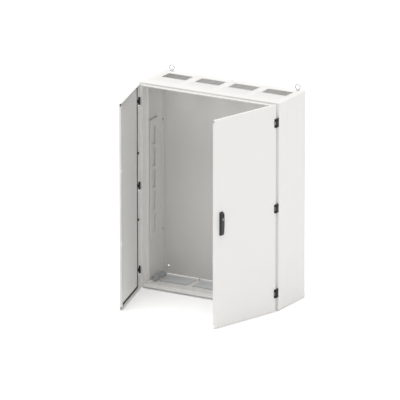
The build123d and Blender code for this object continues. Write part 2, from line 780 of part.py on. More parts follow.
def lock_case():
    """Case over the pinion, open towards the door face, with a slot for each bar."""
    half_x = rack_root + rod_w + case_gap + sheet
    half_y = travel + tip_r + case_gap
    bar_slot = (rack_tip - case_gap, rack_root + rod_w + case_gap)
    with BuildPart(leaf) as piece:
        block(
            (handle_x - half_x, handle_x + half_x),
            (spindle_y - half_y - sheet, spindle_y + half_y + sheet),
            (case_z, inner_z),
        )
        block(
            (handle_x - half_x + sheet, handle_x + half_x - sheet),
            (spindle_y - half_y, spindle_y + half_y),
            (case_z + sheet, inner_z),
            Mode.SUBTRACT,
        )
        for way in (1, -1):
            block(
                (handle_x + way * bar_slot[0], handle_x + way * bar_slot[1]),
                (spindle_y + way * (half_y - over), spindle_y + way * (half_y + sheet + over)),
                (case_z + sheet, inner_z),
                Mode.SUBTRACT,
            )
    write(piece, "lock_case")


def lock_bar(way):
    """Toothed lock bar with a hook for the rebate strip; way is 1 for the upper and -1 for the lower."""
    teeth_below = int((travel + tip_r) / tooth_pitch)
    rack = (handle_x + way * rack_root, handle_x + way * (rack_root + rod_w))
    hook_y = mid_z + way * hook_reach
    hook_edge = edge_x(1, leaf_w[1] - sheet)
    with BuildPart(leaf) as piece:
        block(rack, (spindle_y - way * (travel + tip_r), hook_y + way * hook_h / 2), gear_z)
        for i in range(-teeth_below, 2):
            y = spindle_y + way * (i + 0.5) * tooth_pitch
            block(
                (handle_x + way * rack_tip, handle_x + way * (rack_root + over)),
                (y - tooth_w / 2, y + tooth_w / 2),
                gear_z,
            )
        block(rack, (hook_y - hook_h / 2, hook_y + hook_h / 2), (hook_front - hook_t, gear_z[0]))
        block(
            (hook_edge, max(rack)),
            (hook_y - hook_h / 2, hook_y + hook_h / 2),
            (hook_front - hook_t, hook_front),
        )
    write(piece, "upper_lock_bar" if way == 1 else "lower_lock_bar")


def bar_guides():
    """Guide on the door face for each lock bar."""
    with BuildPart(leaf) as piece:
        for way in (1, -1):
            x = handle_x + way * (rack_root + rod_w / 2)
            y = (mid_z + way * guide_reach - guide_l / 2, mid_z + way * guide_reach + guide_l / 2)
            wide = rod_w / 2 + part_gap
            outer = wide + guide_wall
            block((x - outer, x + outer), y, (gear_z[0] - part_gap - guide_wall, inner_z))
            block(
                (x - wide, x + wide),
                (y[0] - over, y[1] + over),
                (gear_z[0] - part_gap, gear_z[1] + part_gap),
                Mode.SUBTRACT,
            )
    write(piece, "lock_bar_guides")


# ================================================================ passive leaf
passive = leaf_plane(-1)
bolt_x = edge_x(-1, leaf_w[-1] - bolt_from_seam)
bolt_z = -bolt_plane
keeper_z = body_h - frame_in_z


def rebate_strip():
    """Folded strip on the passive leaf's free edge, which the active leaf's seal and hooks close on."""
    width = leaf_w[-1]
    back = fold_z - part_gap - sheet
    y = (frame_in_z + 2 * sheet, body_h - frame_in_z - 2 * sheet)
    slot_h = hook_h + 2 * over
    slot_x = (width + hook_slot_edge, width + rebate_w + over)
    with BuildPart(passive) as piece:
        block((edge_x(-1, width - sheet), edge_x(-1, width - 2 * sheet)), y, (back, inner_z - sheet))
        block((edge_x(-1, width - 2 * sheet), edge_x(-1, width + rebate_w)), y, (back, back + sheet))
        for way in (1, -1):
            slot_y = mid_z + way * (hook_reach + travel)
            block(
                (edge_x(-1, slot_x[0]), edge_x(-1, slot_x[1])),
                (slot_y - slot_h / 2, slot_y + slot_h / 2),
                (back - sheet, back + 2 * sheet),
                Mode.SUBTRACT,
            )
    write(piece, "rebate_strip")


def passive_bolt(end):
    """Slide bolt in the pan of the passive leaf, drawn back at rest, with its finger tab and its two lugs."""

    def height(distance):
        return keeper_z - distance if end == 1 else body_h - keeper_z + distance

    name = "upper" if end == 1 else "lower"
    tab_at = bolt_l / 2 + bolt_draw
    lug_x = (edge_x(-1, leaf_w[-1] - 2 * sheet), bolt_x - bolt_r - 2 * sheet)
    with BuildPart(passive) as piece:
        upright_rod(bolt_x, (height(bolt_draw), height(bolt_l)), bolt_z, bolt_r)
        block(
            (bolt_x - bolt_tab, bolt_x),
            (height(tab_at), height(tab_at + bolt_r)),
            (bolt_z - bolt_tab_t / 2, bolt_z + bolt_tab_t / 2),
        )
    write(piece, f"passive_{name}_bolt")
    with BuildPart(passive) as seat:
        for near in (bolt_draw + sheet, bolt_l - lug_h - bolt_throw - sheet):
            y = (height(near), height(near + lug_h))
            block(lug_x, y, (bolt_z - bolt_r - sheet, bolt_z + bolt_r + sheet))
            upright_rod(bolt_x, (y[0] - lug_h, y[1] + lug_h), bolt_z, bolt_r + running, Mode.SUBTRACT)
    write(seat, f"passive_{name}_bolt_lugs")


# ================================================================ build
roof()
floor_sheet()
back_tray()
for s in (1, -1):
    side_wall(s)
    side_knockouts(s)
    frame_post(s)
    side_rail(s)
    corner_rail(s)
    corner_bolts(s)
    eyebolt(s)
    hinges(s)
    leaf_shell(s)
    leaf_seal(s)
    seal_clips(s)
    stiffener(s)
for e in (1, -1):
    frame_rail(e)
    passive_bolt(e)
    lock_bar(e)
gland_plates()
earthing()
handle_base()
handle_hub()
handle_tilt_pin()
handle_lever()
lock_cylinder()
lock_pinion()
lock_case()
bar_guides()
rebate_strip()
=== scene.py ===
# %% [markdown]
# # An open two-leaf distribution cabinet
# The cabinet is folded from painted sheet steel, so almost everything that is seen is a flat face that ends in a
# bend of about two millimetres. The imported CAD model holds every size. This lesson loads it, and puts a worked-out
# surface in the place of most of its nodes: the same size, with the bends, pressings and castings of the real one.

# %% Load the frame
import json
import math
from collections import namedtuple
import bmesh
import bpy
import numpy as np
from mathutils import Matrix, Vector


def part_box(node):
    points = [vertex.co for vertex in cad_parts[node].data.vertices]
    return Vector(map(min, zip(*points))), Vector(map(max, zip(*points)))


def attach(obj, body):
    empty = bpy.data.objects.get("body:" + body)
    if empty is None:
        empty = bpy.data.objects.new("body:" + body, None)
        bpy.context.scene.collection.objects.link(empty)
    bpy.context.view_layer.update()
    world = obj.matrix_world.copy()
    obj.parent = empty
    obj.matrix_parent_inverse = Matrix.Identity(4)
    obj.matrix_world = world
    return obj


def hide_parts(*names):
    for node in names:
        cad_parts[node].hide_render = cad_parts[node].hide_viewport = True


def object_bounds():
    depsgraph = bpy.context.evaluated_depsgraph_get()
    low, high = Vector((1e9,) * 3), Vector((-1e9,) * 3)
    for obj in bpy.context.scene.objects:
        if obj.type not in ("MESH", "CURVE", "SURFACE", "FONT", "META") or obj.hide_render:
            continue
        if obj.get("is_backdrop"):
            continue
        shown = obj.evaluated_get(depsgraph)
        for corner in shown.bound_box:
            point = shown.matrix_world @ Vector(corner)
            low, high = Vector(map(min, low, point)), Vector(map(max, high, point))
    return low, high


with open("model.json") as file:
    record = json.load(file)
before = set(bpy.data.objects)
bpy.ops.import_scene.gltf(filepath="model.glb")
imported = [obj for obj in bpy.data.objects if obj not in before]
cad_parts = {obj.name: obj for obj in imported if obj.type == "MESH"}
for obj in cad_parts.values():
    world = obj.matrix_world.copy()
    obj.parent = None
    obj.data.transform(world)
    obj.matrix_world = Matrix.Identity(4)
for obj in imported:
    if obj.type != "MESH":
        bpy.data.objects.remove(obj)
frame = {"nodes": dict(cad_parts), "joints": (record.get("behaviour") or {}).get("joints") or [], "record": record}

mm = 0.001
record = frame["record"]
body_of = {node: body for body, nodes in record["behaviour"]["bodies"].items() for node in nodes}
slot_of = {part["node"]: part["material_slot"] for part in record["subparts"]}

# %% [markdown]
# ## Sizes that come from the frame
# Every sheet that is replaced takes its size from the box of its node, so nothing has to be fitted afterwards. A
# place is a corner of the cabinet with three axes: two that run over a face and one that points out of it. The
# leaves stand open, so their places are turned by the angle that the door joint still has to go to be shut.

# %% Places
Place = namedtuple("Place", "origin axes")
X, Y, Z = np.eye(3)


def corners(node):
    """Lowest and highest corner of a node as arrays."""
    low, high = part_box(node)
    return np.array(low), np.array(high)


def place(origin, a, b, c):
    """A corner and three unit axes: a and b run over a face, c points out of it."""
    return Place(np.array(origin, float), np.array([a, b, c], float))


def to_world(spot, points):
    """World points: the origin plus each local number times its axis."""
    return spot.origin + points @ spot.axes


body_low = np.minimum(corners("floor")[0], corners("roof")[0])
body_high = np.maximum(corners("floor")[1], corners("roof")[1])
half_w, front, back, height = body_high[0], -body_low[1], body_high[1], body_high[2]
joints = {joint["name"]: joint for joint in frame["joints"]}
SIDES = {"right": 1, "left": -1}


def leaf_place(side):
    """Leaf axes: a from the hinge edge to the free edge, b up, c out of the door face; origin on the pin line."""
    swing = joints[f"{side}_door_swing"]
    turn = math.radians(-swing["range_deg"][0])
    outward = np.array([SIDES[side] * math.sin(turn), -math.cos(turn), 0])
    sideways = np.array([-outward[1], outward[0], 0])
    pin = np.array([swing["pos_m"][0], swing["pos_m"][1], 0])
    return place(pin, -SIDES[side] * sideways, Z, outward)


def local_points(mesh, spot):
    """Every point of a mesh, measured along the axes of a place."""
    flat = np.empty(len(mesh.vertices) * 3, np.float32)
    mesh.vertices.foreach_get("co", flat)
    return (flat.reshape(-1, 3) - spot.origin) @ spot.axes.T


def local_box(node, spot):
    """Lowest and highest corner of a node, measured along the axes of a place."""
    local = local_points(frame["nodes"][node].data, spot)
    return local.min(0), local.max(0)


LEAF = {side: leaf_place(side) for side in SIDES}
world = place((0, 0, 0), X, Y, Z)
print("body", round(2 * half_w, 4), "x", round(front + back, 4), "x", round(height, 4), "m")

# %% [markdown]
# ## Surfaces
# A surface is a grid of points, so one helper turns any grid into quads. It leaves out the cells that a cut-out
# removes, and turns the faces over where the place is left-handed, so they always point out. A piece is a list of
# such parts; the points that meet in it are merged.

# %% Grids to meshes


def grid_faces(rows, columns, wrap=False):
    """Quads of a grid of points: each joins a point to its neighbours in the next row and the next column."""
    r = np.arange(rows - 1)[:, None]
    c = np.arange(columns if wrap else columns - 1)[None, :]
    step = (c + 1) % columns
    quad = np.stack(np.broadcast_arrays(r * columns + c, (r + 1) * columns + c, (r + 1) * columns + step,
                                        r * columns + step), -1)
    return quad.reshape(-1, 4)


def lay(spot, grid, wrap=False, drop=None):
    """A part: the grid as world points, with quads for the cells whose centre the drop test does not name."""
    points = grid.reshape(-1, 3)
    faces = grid_faces(*grid.shape[:2], wrap)
    if drop is not None:
        faces = faces[~drop(*points[faces].mean(1).T)]
    if np.linalg.det(spot.axes) < 0:
        faces = faces[:, ::-1]
    used, index = np.unique(faces, return_inverse=True)
    return to_world(spot, points[used]), index.reshape(faces.shape)


def merge_points(mesh, apart):
    """Merges the points of a mesh that lie closer together than apart."""
    form = bmesh.new()
    form.from_mesh(mesh)
    bmesh.ops.remove_doubles(form, verts=form.verts, dist=apart)
    form.to_mesh(mesh)
    form.free()


def new_piece(name, parts, sharp=35):
    """One object from parts; points closer than two micrometres are merged in each part."""
    mesh = bpy.data.meshes.new(name)
    form = bmesh.new()
    for points, faces in parts:
        scratch = bpy.data.meshes.new("scratch")
        scratch.from_pydata(points.tolist(), [], faces.tolist())
        merge_points(scratch, 2e-6)
        form.from_mesh(scratch)
        bpy.data.meshes.remove(scratch)
    form.to_mesh(mesh)
    form.free()
    mesh.shade_smooth()
    mesh.set_sharp_from_angle(angle=math.radians(sharp))
    piece = bpy.data.objects.new(name, mesh)
    bpy.context.scene.collection.objects.link(piece)
    return piece


def give_wall(piece, thick, soften=0.0, even=True):
    """Sheet thickness behind the surface, then a small round on every cut edge."""
    wall = piece.modifiers.new("wall", "SOLIDIFY")
    wall.thickness = thick
    wall.offset = -1
    wall.use_even_offset = even
    if soften:
        edge = piece.modifiers.new("edge", "BEVEL")
        edge.width = soften
        edge.segments = 2
        edge.limit_method = "ANGLE"
        edge.angle_limit = math.radians(40)
        edge.harden_normals = True
    return piece


# %% [markdown]
# ## Folded sheet
# A folded sheet is two flat paths. One gives the section over a and c, the other the section over b and c, and the
# surface adds the depths of both: a pan has folds along all four edges. Extra points go in wherever a cut-out has
# an edge, so its cells can be left out exactly.

# %% Paths and folds


def bend_path(corners_2d, radius, steps=4):
    """Path through flat corners; each inner corner becomes an arc that touches both of its legs."""
    legs = np.array(corners_2d, float)
    path = [legs[:1]]
    for before, at, after in zip(legs[:-2], legs[1:-1], legs[2:]):
        back_way = (before - at) / np.linalg.norm(before - at)
        fore_way = (after - at) / np.linalg.norm(after - at)
        half = math.acos(np.clip(back_way @ fore_way, -1, 1)) / 2
        middle = at + (back_way + fore_way) / np.linalg.norm(back_way + fore_way) * radius / math.sin(half)
        share = np.linspace(0, 1, steps + 1)[:, None]
        start, stop = (at + way * radius / math.tan(half) - middle for way in (back_way, fore_way))
        arm = start * (1 - share) + stop * share
        path.append(middle + arm / np.linalg.norm(arm, axis=1, keepdims=True) * radius)
    path.append(legs[-1:])
    return np.concatenate(path)


def with_marks(path, axis, values):
    """The same path with a point added wherever the coordinate on this axis passes one of the values."""
    for value in values:
        rest, ahead = path[:-1, axis] - value, path[1:, axis] - value
        for i in np.flatnonzero(rest * ahead < -1e-14)[::-1]:
            share = rest[i] / (rest[i] - ahead[i])
            path = np.insert(path, i + 1, path[i] * (1 - share) + path[i + 1] * share, axis=0)
    return path


def pan_grid(path_a, path_b, deepest):
    """Grid of (a, b, depth of a plus depth of b), never deeper than the folds reach."""
    grid = np.empty((len(path_a), len(path_b), 3))
    grid[..., 0] = path_a[:, 0, None]
    grid[..., 1] = path_b[None, :, 0]
    grid[..., 2] = np.maximum(path_a[:, 1, None] + path_b[None, :, 1], deepest)
    return grid


def run_grid(section, low, high, marks=()):
    """Grid of a section over a and c, drawn along b from low to high; both may differ for each section point."""
    share = np.unique(np.concatenate([[0.0, 1.0], np.asarray(marks, float)]))
    low, high = np.broadcast_to(low, len(section)), np.broadcast_to(high, len(section))
    grid = np.empty((len(section), len(share), 3))
    grid[..., 0] = section[:, 0, None]
    grid[..., 1] = low[:, None] + (high - low)[:, None] * share
    grid[..., 2] = section[:, 1, None]
    return grid


def depth_in(a, b, boxes):
    """How far a point lies inside the nearest of several (low a, high a, low b, high b) boxes; negative outside."""
    low_a, high_a, low_b, high_b = np.array(boxes).T
    a, b = a[..., None], b[..., None]
    return np.minimum(np.minimum(a - low_a, high_a - a), np.minimum(b - low_b, high_b - b)).max(-1)


def press(grid, boxes, depth, wall):
    """Lowers the inside of the boxes; the step is a smooth S as wide as wall, as a press tool leaves it."""
    share = np.clip(depth_in(grid[..., 0], grid[..., 1], boxes) / wall, 0, 1)
    grid[..., 2] -= depth * share * share * (3 - 2 * share)
    return grid


def step_marks(low, high, wall, ledge):
    """Where a pressed box needs points: five over each step, and one where its ledge ends."""
    over = np.linspace(0, wall, 5)
    return np.concatenate([low + over, high - over, [low + wall + ledge, high - wall - ledge]])


# %% [markdown]
# ## Solid shapes
# Castings, plates and screws are lofts: rings of points stacked from the top down. A ring is either a rounded
# rectangle or a circle, and every edge gets its own small round.

# %% Lofts


def ring(half_a, half_b, radius, steps=4):
    """Rounded rectangle about the origin, anticlockwise: four quarter circles joined by straight sides."""
    turn = np.radians(np.arange(4)[:, None] * 90 + np.linspace(0, 90, steps + 1))
    centre_of = np.array([(1, 1), (-1, 1), (-1, -1), (1, -1)]) * (half_a - radius, half_b - radius)
    return (centre_of[:, None] + radius * np.stack([np.cos(turn), np.sin(turn)], -1)).reshape(-1, 2)


def soft_block(spot, low, high, edge, corner=None):
    """Block between two corners: rounded rectangles from top to bottom, drawn in by a quarter circle at both."""
    low, high = np.array(low, float), np.array(high, float)
    size, middle = (high - low) / 2, (high + low) / 2
    corner = edge if corner is None else corner
    turn = np.radians(np.linspace(0, 90, 4))
    inset = np.concatenate([edge * (1 - np.sin(turn)), edge * (1 - np.cos(turn))])
    level = np.concatenate([high[2] - edge * (1 - np.cos(turn)), low[2] + edge * (1 - np.sin(turn))])
    grid = [np.broadcast_to((middle[0], middle[1], high[2]), (20, 3))]
    for draw, at in zip(inset, level):
        flat = ring(size[0] - draw, size[1] - draw, max(corner - draw, edge * 0.05)) + middle[:2]
        grid.append(np.column_stack([flat, np.full(20, at)]))
    grid.append(np.broadcast_to((middle[0], middle[1], low[2]), (20, 3)))
    return lay(spot, np.array(grid), wrap=True)


def turned(spot, at, profile, steps=28):
    """Turned shape about c through a local point: (radius, level) pairs from top to bottom, closed on the axis."""
    profile = np.array(profile, float)
    turn = np.linspace(0, 2 * math.pi, steps, endpoint=False)
    grid = np.empty((len(profile), steps, 3))
    grid[..., 0] = at[0] + profile[:, 0, None] * np.cos(turn)
    grid[..., 1] = at[1] + profile[:, 0, None] * np.sin(turn)
    grid[..., 2] = at[2] + profile[:, 1, None]
    return lay(spot, grid, wrap=True)


def bar_profile(radius, low, high, edge):
    """Profile of a round bar whose two ends have a small round."""
    turn = np.radians(np.linspace(0, 90, 4))
    top = np.column_stack([radius - edge * (1 - np.sin(turn)), high - edge * (1 - np.cos(turn))])
    foot = np.column_stack([radius - edge * (1 - np.cos(turn)), low + edge * (1 - np.sin(turn))])
    return np.concatenate([[(0, high)], top, foot, [(0, low)]])


# %% [markdown]
# ## Materials
# A few finishes cover the whole object: light powder coat on the sheet, black powder coat on the castings, black
# moulded plastic and foam, and zinc or tin on the fixings. Each is a Principled shader whose colour, roughness and
# bump come from shared node groups, so one group can serve a fine coat and a coarse one with different values.
# Painted image maps would need a flat layout of every piece; noise on Object coordinates needs none.

# %% Node helpers
Socket = namedtuple("Socket", "name kind value")


def new_group(name, inputs, outputs):
    """An empty node group with named inputs and outputs, and its input and output nodes."""
    group = bpy.data.node_groups.new(name, "ShaderNodeTree")
    for entry in inputs:
        made = group.interface.new_socket(entry.name, in_out="INPUT", socket_type=entry.kind)
        made.default_value = entry.value
    for entry in outputs:
        group.interface.new_socket(entry.name, in_out="OUTPUT", socket_type=entry.kind)
    return group, group.nodes.new("NodeGroupInput"), group.nodes.new("NodeGroupOutput")


def add(tree, kind, links=(), **settings):
    """A node with its settings; links are (input name or number, output socket or value) pairs."""
    node = tree.nodes.new(kind)
    for key, value in settings.items():
        setattr(node, key, value)
    for target, source in links:
        socket = node.inputs[target]
        if isinstance(source, bpy.types.NodeSocket):
            tree.links.new(source, socket)
        else:
            socket.default_value = source
    return node


# %% [markdown]
# Powder coat is a melted film. It keeps a fine orange peel of one or two millimetres, and its tone drifts a little
# over a large sheet. The first group makes both from Object coordinates, so the pattern runs on over neighbours.

# %% Group: film
film, film_in, film_out = new_group(
    "coat film",
    [Socket("Peel Scale", "NodeSocketFloat", 600.0), Socket("Drift Scale", "NodeSocketFloat", 3.0)],
    [Socket("Height", "NodeSocketFloat", 0), Socket("Drift", "NodeSocketFloat", 0)],
)
where = add(film, "ShaderNodeTexCoord").outputs["Object"]
peel = add(film, "ShaderNodeTexNoise", [("Vector", where), ("Detail", 2.0),
                                        ("Scale", film_in.outputs["Peel Scale"])])
drift = add(film, "ShaderNodeTexNoise", [("Vector", where), ("Detail", 3.0),
                                         ("Scale", film_in.outputs["Drift Scale"])])
film.links.new(peel.outputs["Fac"], film_out.inputs["Height"])
film.links.new(drift.outputs["Fac"], film_out.inputs["Drift"])

# %% [markdown]
# Dust settles on faces that look up and stays off the ones that hang. The second group gives a mask for it: how far
# the face looks up, broken by a coarse noise.

# %% Group: dust
dust, dust_in, dust_out = new_group(
    "settled dust",
    [Socket("Patch Scale", "NodeSocketFloat", 9.0)],
    [Socket("Mask", "NodeSocketFloat", 0)],
)
facing = add(dust, "ShaderNodeSeparateXYZ", [(0, add(dust, "ShaderNodeNewGeometry").outputs["Normal"])])
level = add(dust, "ShaderNodeMapRange", [("Value", facing.outputs["Z"]), ("From Min", 0.35), ("From Max", 0.95)])
spread = add(dust, "ShaderNodeTexNoise", [("Vector", add(dust, "ShaderNodeTexCoord").outputs["Object"]),
                                          ("Scale", dust_in.outputs["Patch Scale"]), ("Detail", 5.0)])
patch = add(dust, "ShaderNodeMapRange", [("Value", spread.outputs["Fac"]), ("From Min", 0.35), ("From Max", 0.7)])
both = add(dust, "ShaderNodeMath", [(0, level.outputs["Result"]), (1, patch.outputs["Result"])],
           operation="MULTIPLY")
dust.links.new(both.outputs[0], dust_out.inputs["Mask"])

# %% [markdown]
# Zinc plate is drawn or rolled under its film, so its grain runs one way. The third group stretches a noise along Z.

# %% Group: drawn grain
grain, grain_in, grain_out = new_group(
    "drawn grain",
    [Socket("Scale", "NodeSocketFloat", 900.0), Socket("Stretch", "NodeSocketFloat", 0.08)],
    [Socket("Height", "NodeSocketFloat", 0), Socket("Cloud", "NodeSocketFloat", 0)],
)
spot_at = add(grain, "ShaderNodeTexCoord").outputs["Object"]
squeeze = add(grain, "ShaderNodeCombineXYZ", [("X", 1.0), ("Y", 1.0), ("Z", grain_in.outputs["Stretch"])])
drawn = add(grain, "ShaderNodeVectorMath", [(0, spot_at), (1, squeeze.outputs[0])], operation="MULTIPLY")
lines = add(grain, "ShaderNodeTexNoise", [("Vector", drawn.outputs[0]), ("Scale", grain_in.outputs["Scale"]),
                                          ("Detail", 3.0)])
cloud = add(grain, "ShaderNodeTexNoise", [("Vector", spot_at), ("Scale", 60.0), ("Detail", 4.0)])
grain.links.new(lines.outputs["Fac"], grain_out.inputs["Height"])
grain.links.new(cloud.outputs["Fac"], grain_out.inputs["Cloud"])

# %% [markdown]
# A finish is a short row of values. The slow pattern moves its colour and roughness between two ends, the fine one
# feeds a bump, and dust lies on top. One function turns a row into a material, so a finish is easy to compare.

# %% Finishes
Finish = namedtuple("Finish", "name dark light rough_low rough_high peel bump metal dusty grained")
DUST_TONE = (0.55, 0.52, 0.47, 1)
RELIEF = 0.4 * mm


def finish_material(look):
    """Principled shader: colour and roughness follow the slow pattern, the bump follows the fine one, dust on top."""
    material = bpy.data.materials.new(look.name)
    material.use_nodes = True
    tree = material.node_tree
    shader = tree.nodes["Principled BSDF"]
    group, fine, slow = (grain, "Scale", "Cloud") if look.grained else (film, "Peel Scale", "Drift")
    texture = add(tree, "ShaderNodeGroup", [(fine, look.peel)], node_tree=group)
    settled = add(tree, "ShaderNodeGroup", node_tree=dust)
    weight = add(tree, "ShaderNodeMath", [(0, settled.outputs["Mask"]), (1, look.dusty)], operation="MULTIPLY")
    tone = add(tree, "ShaderNodeMix", [("Factor", texture.outputs[slow]), ("A", (*look.dark, 1)),
                                       ("B", (*look.light, 1))], data_type="RGBA")
    dusted = add(tree, "ShaderNodeMix", [("Factor", weight.outputs[0]), ("A", tone.outputs["Result"]),
                                         ("B", DUST_TONE)], data_type="RGBA")
    rough = add(tree, "ShaderNodeMapRange", [("Value", texture.outputs[slow]), ("From Min", 0.3), ("From Max", 0.7),
                                             ("To Min", look.rough_low), ("To Max", look.rough_high)])
    relief = add(tree, "ShaderNodeBump", [("Height", texture.outputs["Height"]), ("Strength", look.bump),
                                          ("Distance", RELIEF)])
    tree.links.new(dusted.outputs["Result"], shader.inputs["Base Color"])
    tree.links.new(rough.outputs["Result"], shader.inputs["Roughness"])
    tree.links.new(relief.outputs["Normal"], shader.inputs["Normal"])
    shader.inputs["Metallic"].default_value = look.metal
    return material


LOOKS = {
    "grey_white_paint": Finish("grey white powder coat", (0.765, 0.755, 0.735), (0.795, 0.785, 0.765),
                               0.40, 0.52, 620.0, 0.16, 0.0, 0.05, False),
    "black_zinc_casting": Finish("black textured powder coat", (0.008, 0.008, 0.009), (0.016, 0.016, 0.017),
                                 0.55, 0.70, 1500.0, 0.5, 0.0, 0.12, False),
    "black_handle": Finish("black moulding", (0.022, 0.023, 0.024), (0.036, 0.037, 0.038),
                           0.36, 0.50, 2600.0, 0.35, 0.0, 0.10, False),
    "black_plastic": Finish("black clip plastic", (0.018, 0.018, 0.018), (0.030, 0.030, 0.030),
                            0.45, 0.6, 2600.0, 0.3, 0.0, 0.10, False),
    "black_seal": Finish("black foam seal", (0.010, 0.010, 0.010), (0.022, 0.022, 0.021),
                         0.82, 0.95, 2200.0, 0.9, 0.0, 0.08, False),
    "zinc_plated_steel": Finish("zinc plated steel", (0.56, 0.58, 0.60), (0.70, 0.71, 0.71),
                                0.30, 0.48, 900.0, 0.25, 0.8, 0.05, True),
    "galvanised_sheet": Finish("pale zinc coat", (0.60, 0.62, 0.64), (0.67, 0.69, 0.71),
                               0.42, 0.58, 500.0, 0.12, 0.15, 0.08, False),
    "earth_metal": Finish("tinned earth metal", (0.42, 0.45, 0.48), (0.54, 0.57, 0.59),
                          0.40, 0.60, 900.0, 0.3, 0.35, 0.08, True),
    "lock_core": Finish("satin lock core", (0.22, 0.22, 0.23), (0.30, 0.30, 0.31),
                        0.30, 0.42, 1400.0, 0.25, 1.0, 0.04, True),
}
FINISHES = {slot: finish_material(look) for slot, look in LOOKS.items()}
print(len(FINISHES), "finishes, slots without one:", sorted(set(slot_of.values()) - set(FINISHES)))

# %% [markdown]
# A worked-out piece takes the place of its node in the CAD model: it rides on the same body, has the same finish, and
# hides the node. Its box is measured against the box of the node, so a slip of size shows at once.

# %% Put a piece in a node's place
made = {}


def settle(piece, node):
    """The piece rides and is finished as its node says, and hides it; prints how far its box is from the node's."""
    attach(piece, body_of[node])
    piece.data.materials.clear()
    piece.data.materials.append(FINISHES[slot_of[node]])
    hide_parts(node)
    low, high = corners(node)
    box = np.array(piece.evaluated_get(bpy.context.evaluated_depsgraph_get()).bound_box)
    off = max(np.abs(box.min(0) - low).max(), np.abs(box.max(0) - high).max())
    out = max((low - box.min(0)).max(), (box.max(0) - high).max())
    print(f"{piece.name}: {len(piece.data.polygons)} faces, differs {off / mm:.1f} mm, outside {out / mm:.1f} mm")
    made[piece.name] = piece


# %% [markdown]
# ## Camera, light and floor
# The camera stands far away with a long lens, which keeps the uprights nearly parallel. The light is a white studio:
# an even sky, a soft sun from above that makes the roof the brightest face, and a wide panel on the right. The floor
# glows a little, so it stays as pale as the sky behind it and shows only the soft shadow under the cabinet.

# %% Camera
VIEW_TURN, VIEW_RISE, VIEW_FAR = math.radians(30.08), math.radians(16.57), 43.312
centre = np.array([-0.1569, -0.015, 0.6100])
away = np.array([math.sin(VIEW_TURN) * math.cos(VIEW_RISE), -math.cos(VIEW_TURN) * math.cos(VIEW_RISE),
                 math.sin(VIEW_RISE)])
camera = bpy.data.objects.new("camera", bpy.data.cameras.new("camera"))
camera.data.lens = 595.7
camera.data.sensor_width = 36
camera.data.clip_end = 200
camera.location = centre + away * VIEW_FAR
camera.rotation_euler = (math.pi / 2 - VIEW_RISE, 0, VIEW_TURN)
bpy.context.scene.collection.objects.link(camera)
bpy.context.scene.camera = camera

# %% Light and floor
bpy.context.scene.view_settings.view_transform = "Standard"
sky = bpy.data.worlds.new("sky")
sky.use_nodes = True
sky.node_tree.nodes["Background"].inputs["Color"].default_value = (1, 1, 1, 1)
sky.node_tree.nodes["Background"].inputs["Strength"].default_value = 0.46
bpy.context.scene.world = sky


def lamp(name, kind, energy, aim, size, at=(0, 0, 0)):
    """A light at a point, turned to look along aim; size is a panel's edge or a sun's angle."""
    data = bpy.data.lights.new(name, kind)
    data.energy = energy
    setattr(data, "size" if kind == "AREA" else "angle", size)
    light = bpy.data.objects.new(name, data)
    light.location = at
    light.rotation_euler = (math.acos(-aim[2] / np.linalg.norm(aim)), 0, math.atan2(-aim[0], aim[1]))
    bpy.context.scene.collection.objects.link(light)


lamp("top sun", "SUN", 2.7, (0.05, 0.1, -1), math.radians(60))
lamp("right panel", "AREA", 44, (-1, 0.12, -0.12), 5.0, (7, -1.0, 1.6))

floor_mesh = bpy.data.meshes.new("floor")
FLOOR_REACH, FLOOR_DROP = 60.0, 0.8 * mm
floor_mesh.from_pydata([(x * FLOOR_REACH, y * FLOOR_REACH, 0) for x, y in ((-1, -1), (1, -1), (1, 1), (-1, 1))], [],
                       [(0, 1, 2, 3)])
floor_piece = bpy.data.objects.new("studio_floor", floor_mesh)
floor_piece.location = (0, 0, -FLOOR_DROP)
bpy.context.scene.collection.objects.link(floor_piece)
pale = bpy.data.materials.new("pale floor")
pale.use_nodes = True
for socket, value in (("Base Color", (0.90, 0.90, 0.90, 1)), ("Roughness", 0.9), ("Emission Color", (1, 1, 1, 1)),
                      ("Emission Strength", 0.14)):
    pale.node_tree.nodes["Principled BSDF"].inputs[socket].default_value = value
floor_mesh.materials.append(pale)
floor_piece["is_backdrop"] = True
print("camera", VIEW_FAR, "m away")

# %% [markdown]
# ## Front frame
# The front frame is one section that runs all round the opening: a flat band, a lip that stands forward for the
# seal, a return into the body and a flange. At the sides it is wider than above and below. Both widths have the same
# number of points, so the corner point of each is known, and the four lengths meet there in a true mitre. A boolean
# cut would give the same mitre, but it leaves stray points on the long bends.

# %% Frame sections
SHEET = 1.5 * mm
BEND = 2.2 * mm
SKIRT = 4.0 * mm
CUT_EDGE = 0.3 * mm
SIDE_WIDTHS = 25 * mm, 37 * mm, 56 * mm
END_WIDTHS = 14 * mm, 23 * mm, 35 * mm
head_low, head_high = corners("frame_head")
lip = -front - head_low[1]
rear = front + head_high[1] - SHEET


def frame_section(start, band, inner, flange):
    """Section over (distance from the body's edge, distance in front of the body): band, lip, return and flange."""
    legs = [(start, -SKIRT), (start, 0), (band, 0), (band, lip), (inner, lip), (inner, -rear), (flange, -rear)]
    return bend_path(legs, BEND)


def hole_marks(at, radius):
    """Where a round hole needs points: its middle, and three steps outward on each side."""
    return at + radius * np.array([-1.7, -1, -0.414, 0, 0.414, 1, 1.7])


def punch(grid, axes, at, radius):
    """Moves the border of the square of cells round a point onto a circle; the cells inside it are then left out."""
    off = grid[..., axes] - np.asarray(at)
    edge = np.isclose(np.abs(off).max(-1), radius, atol=1e-6)
    flat = grid[edge]
    flat[:, axes] = at + off[edge] / np.linalg.norm(off[edge], axis=-1, keepdims=True) * radius
    grid[edge] = flat
    return grid


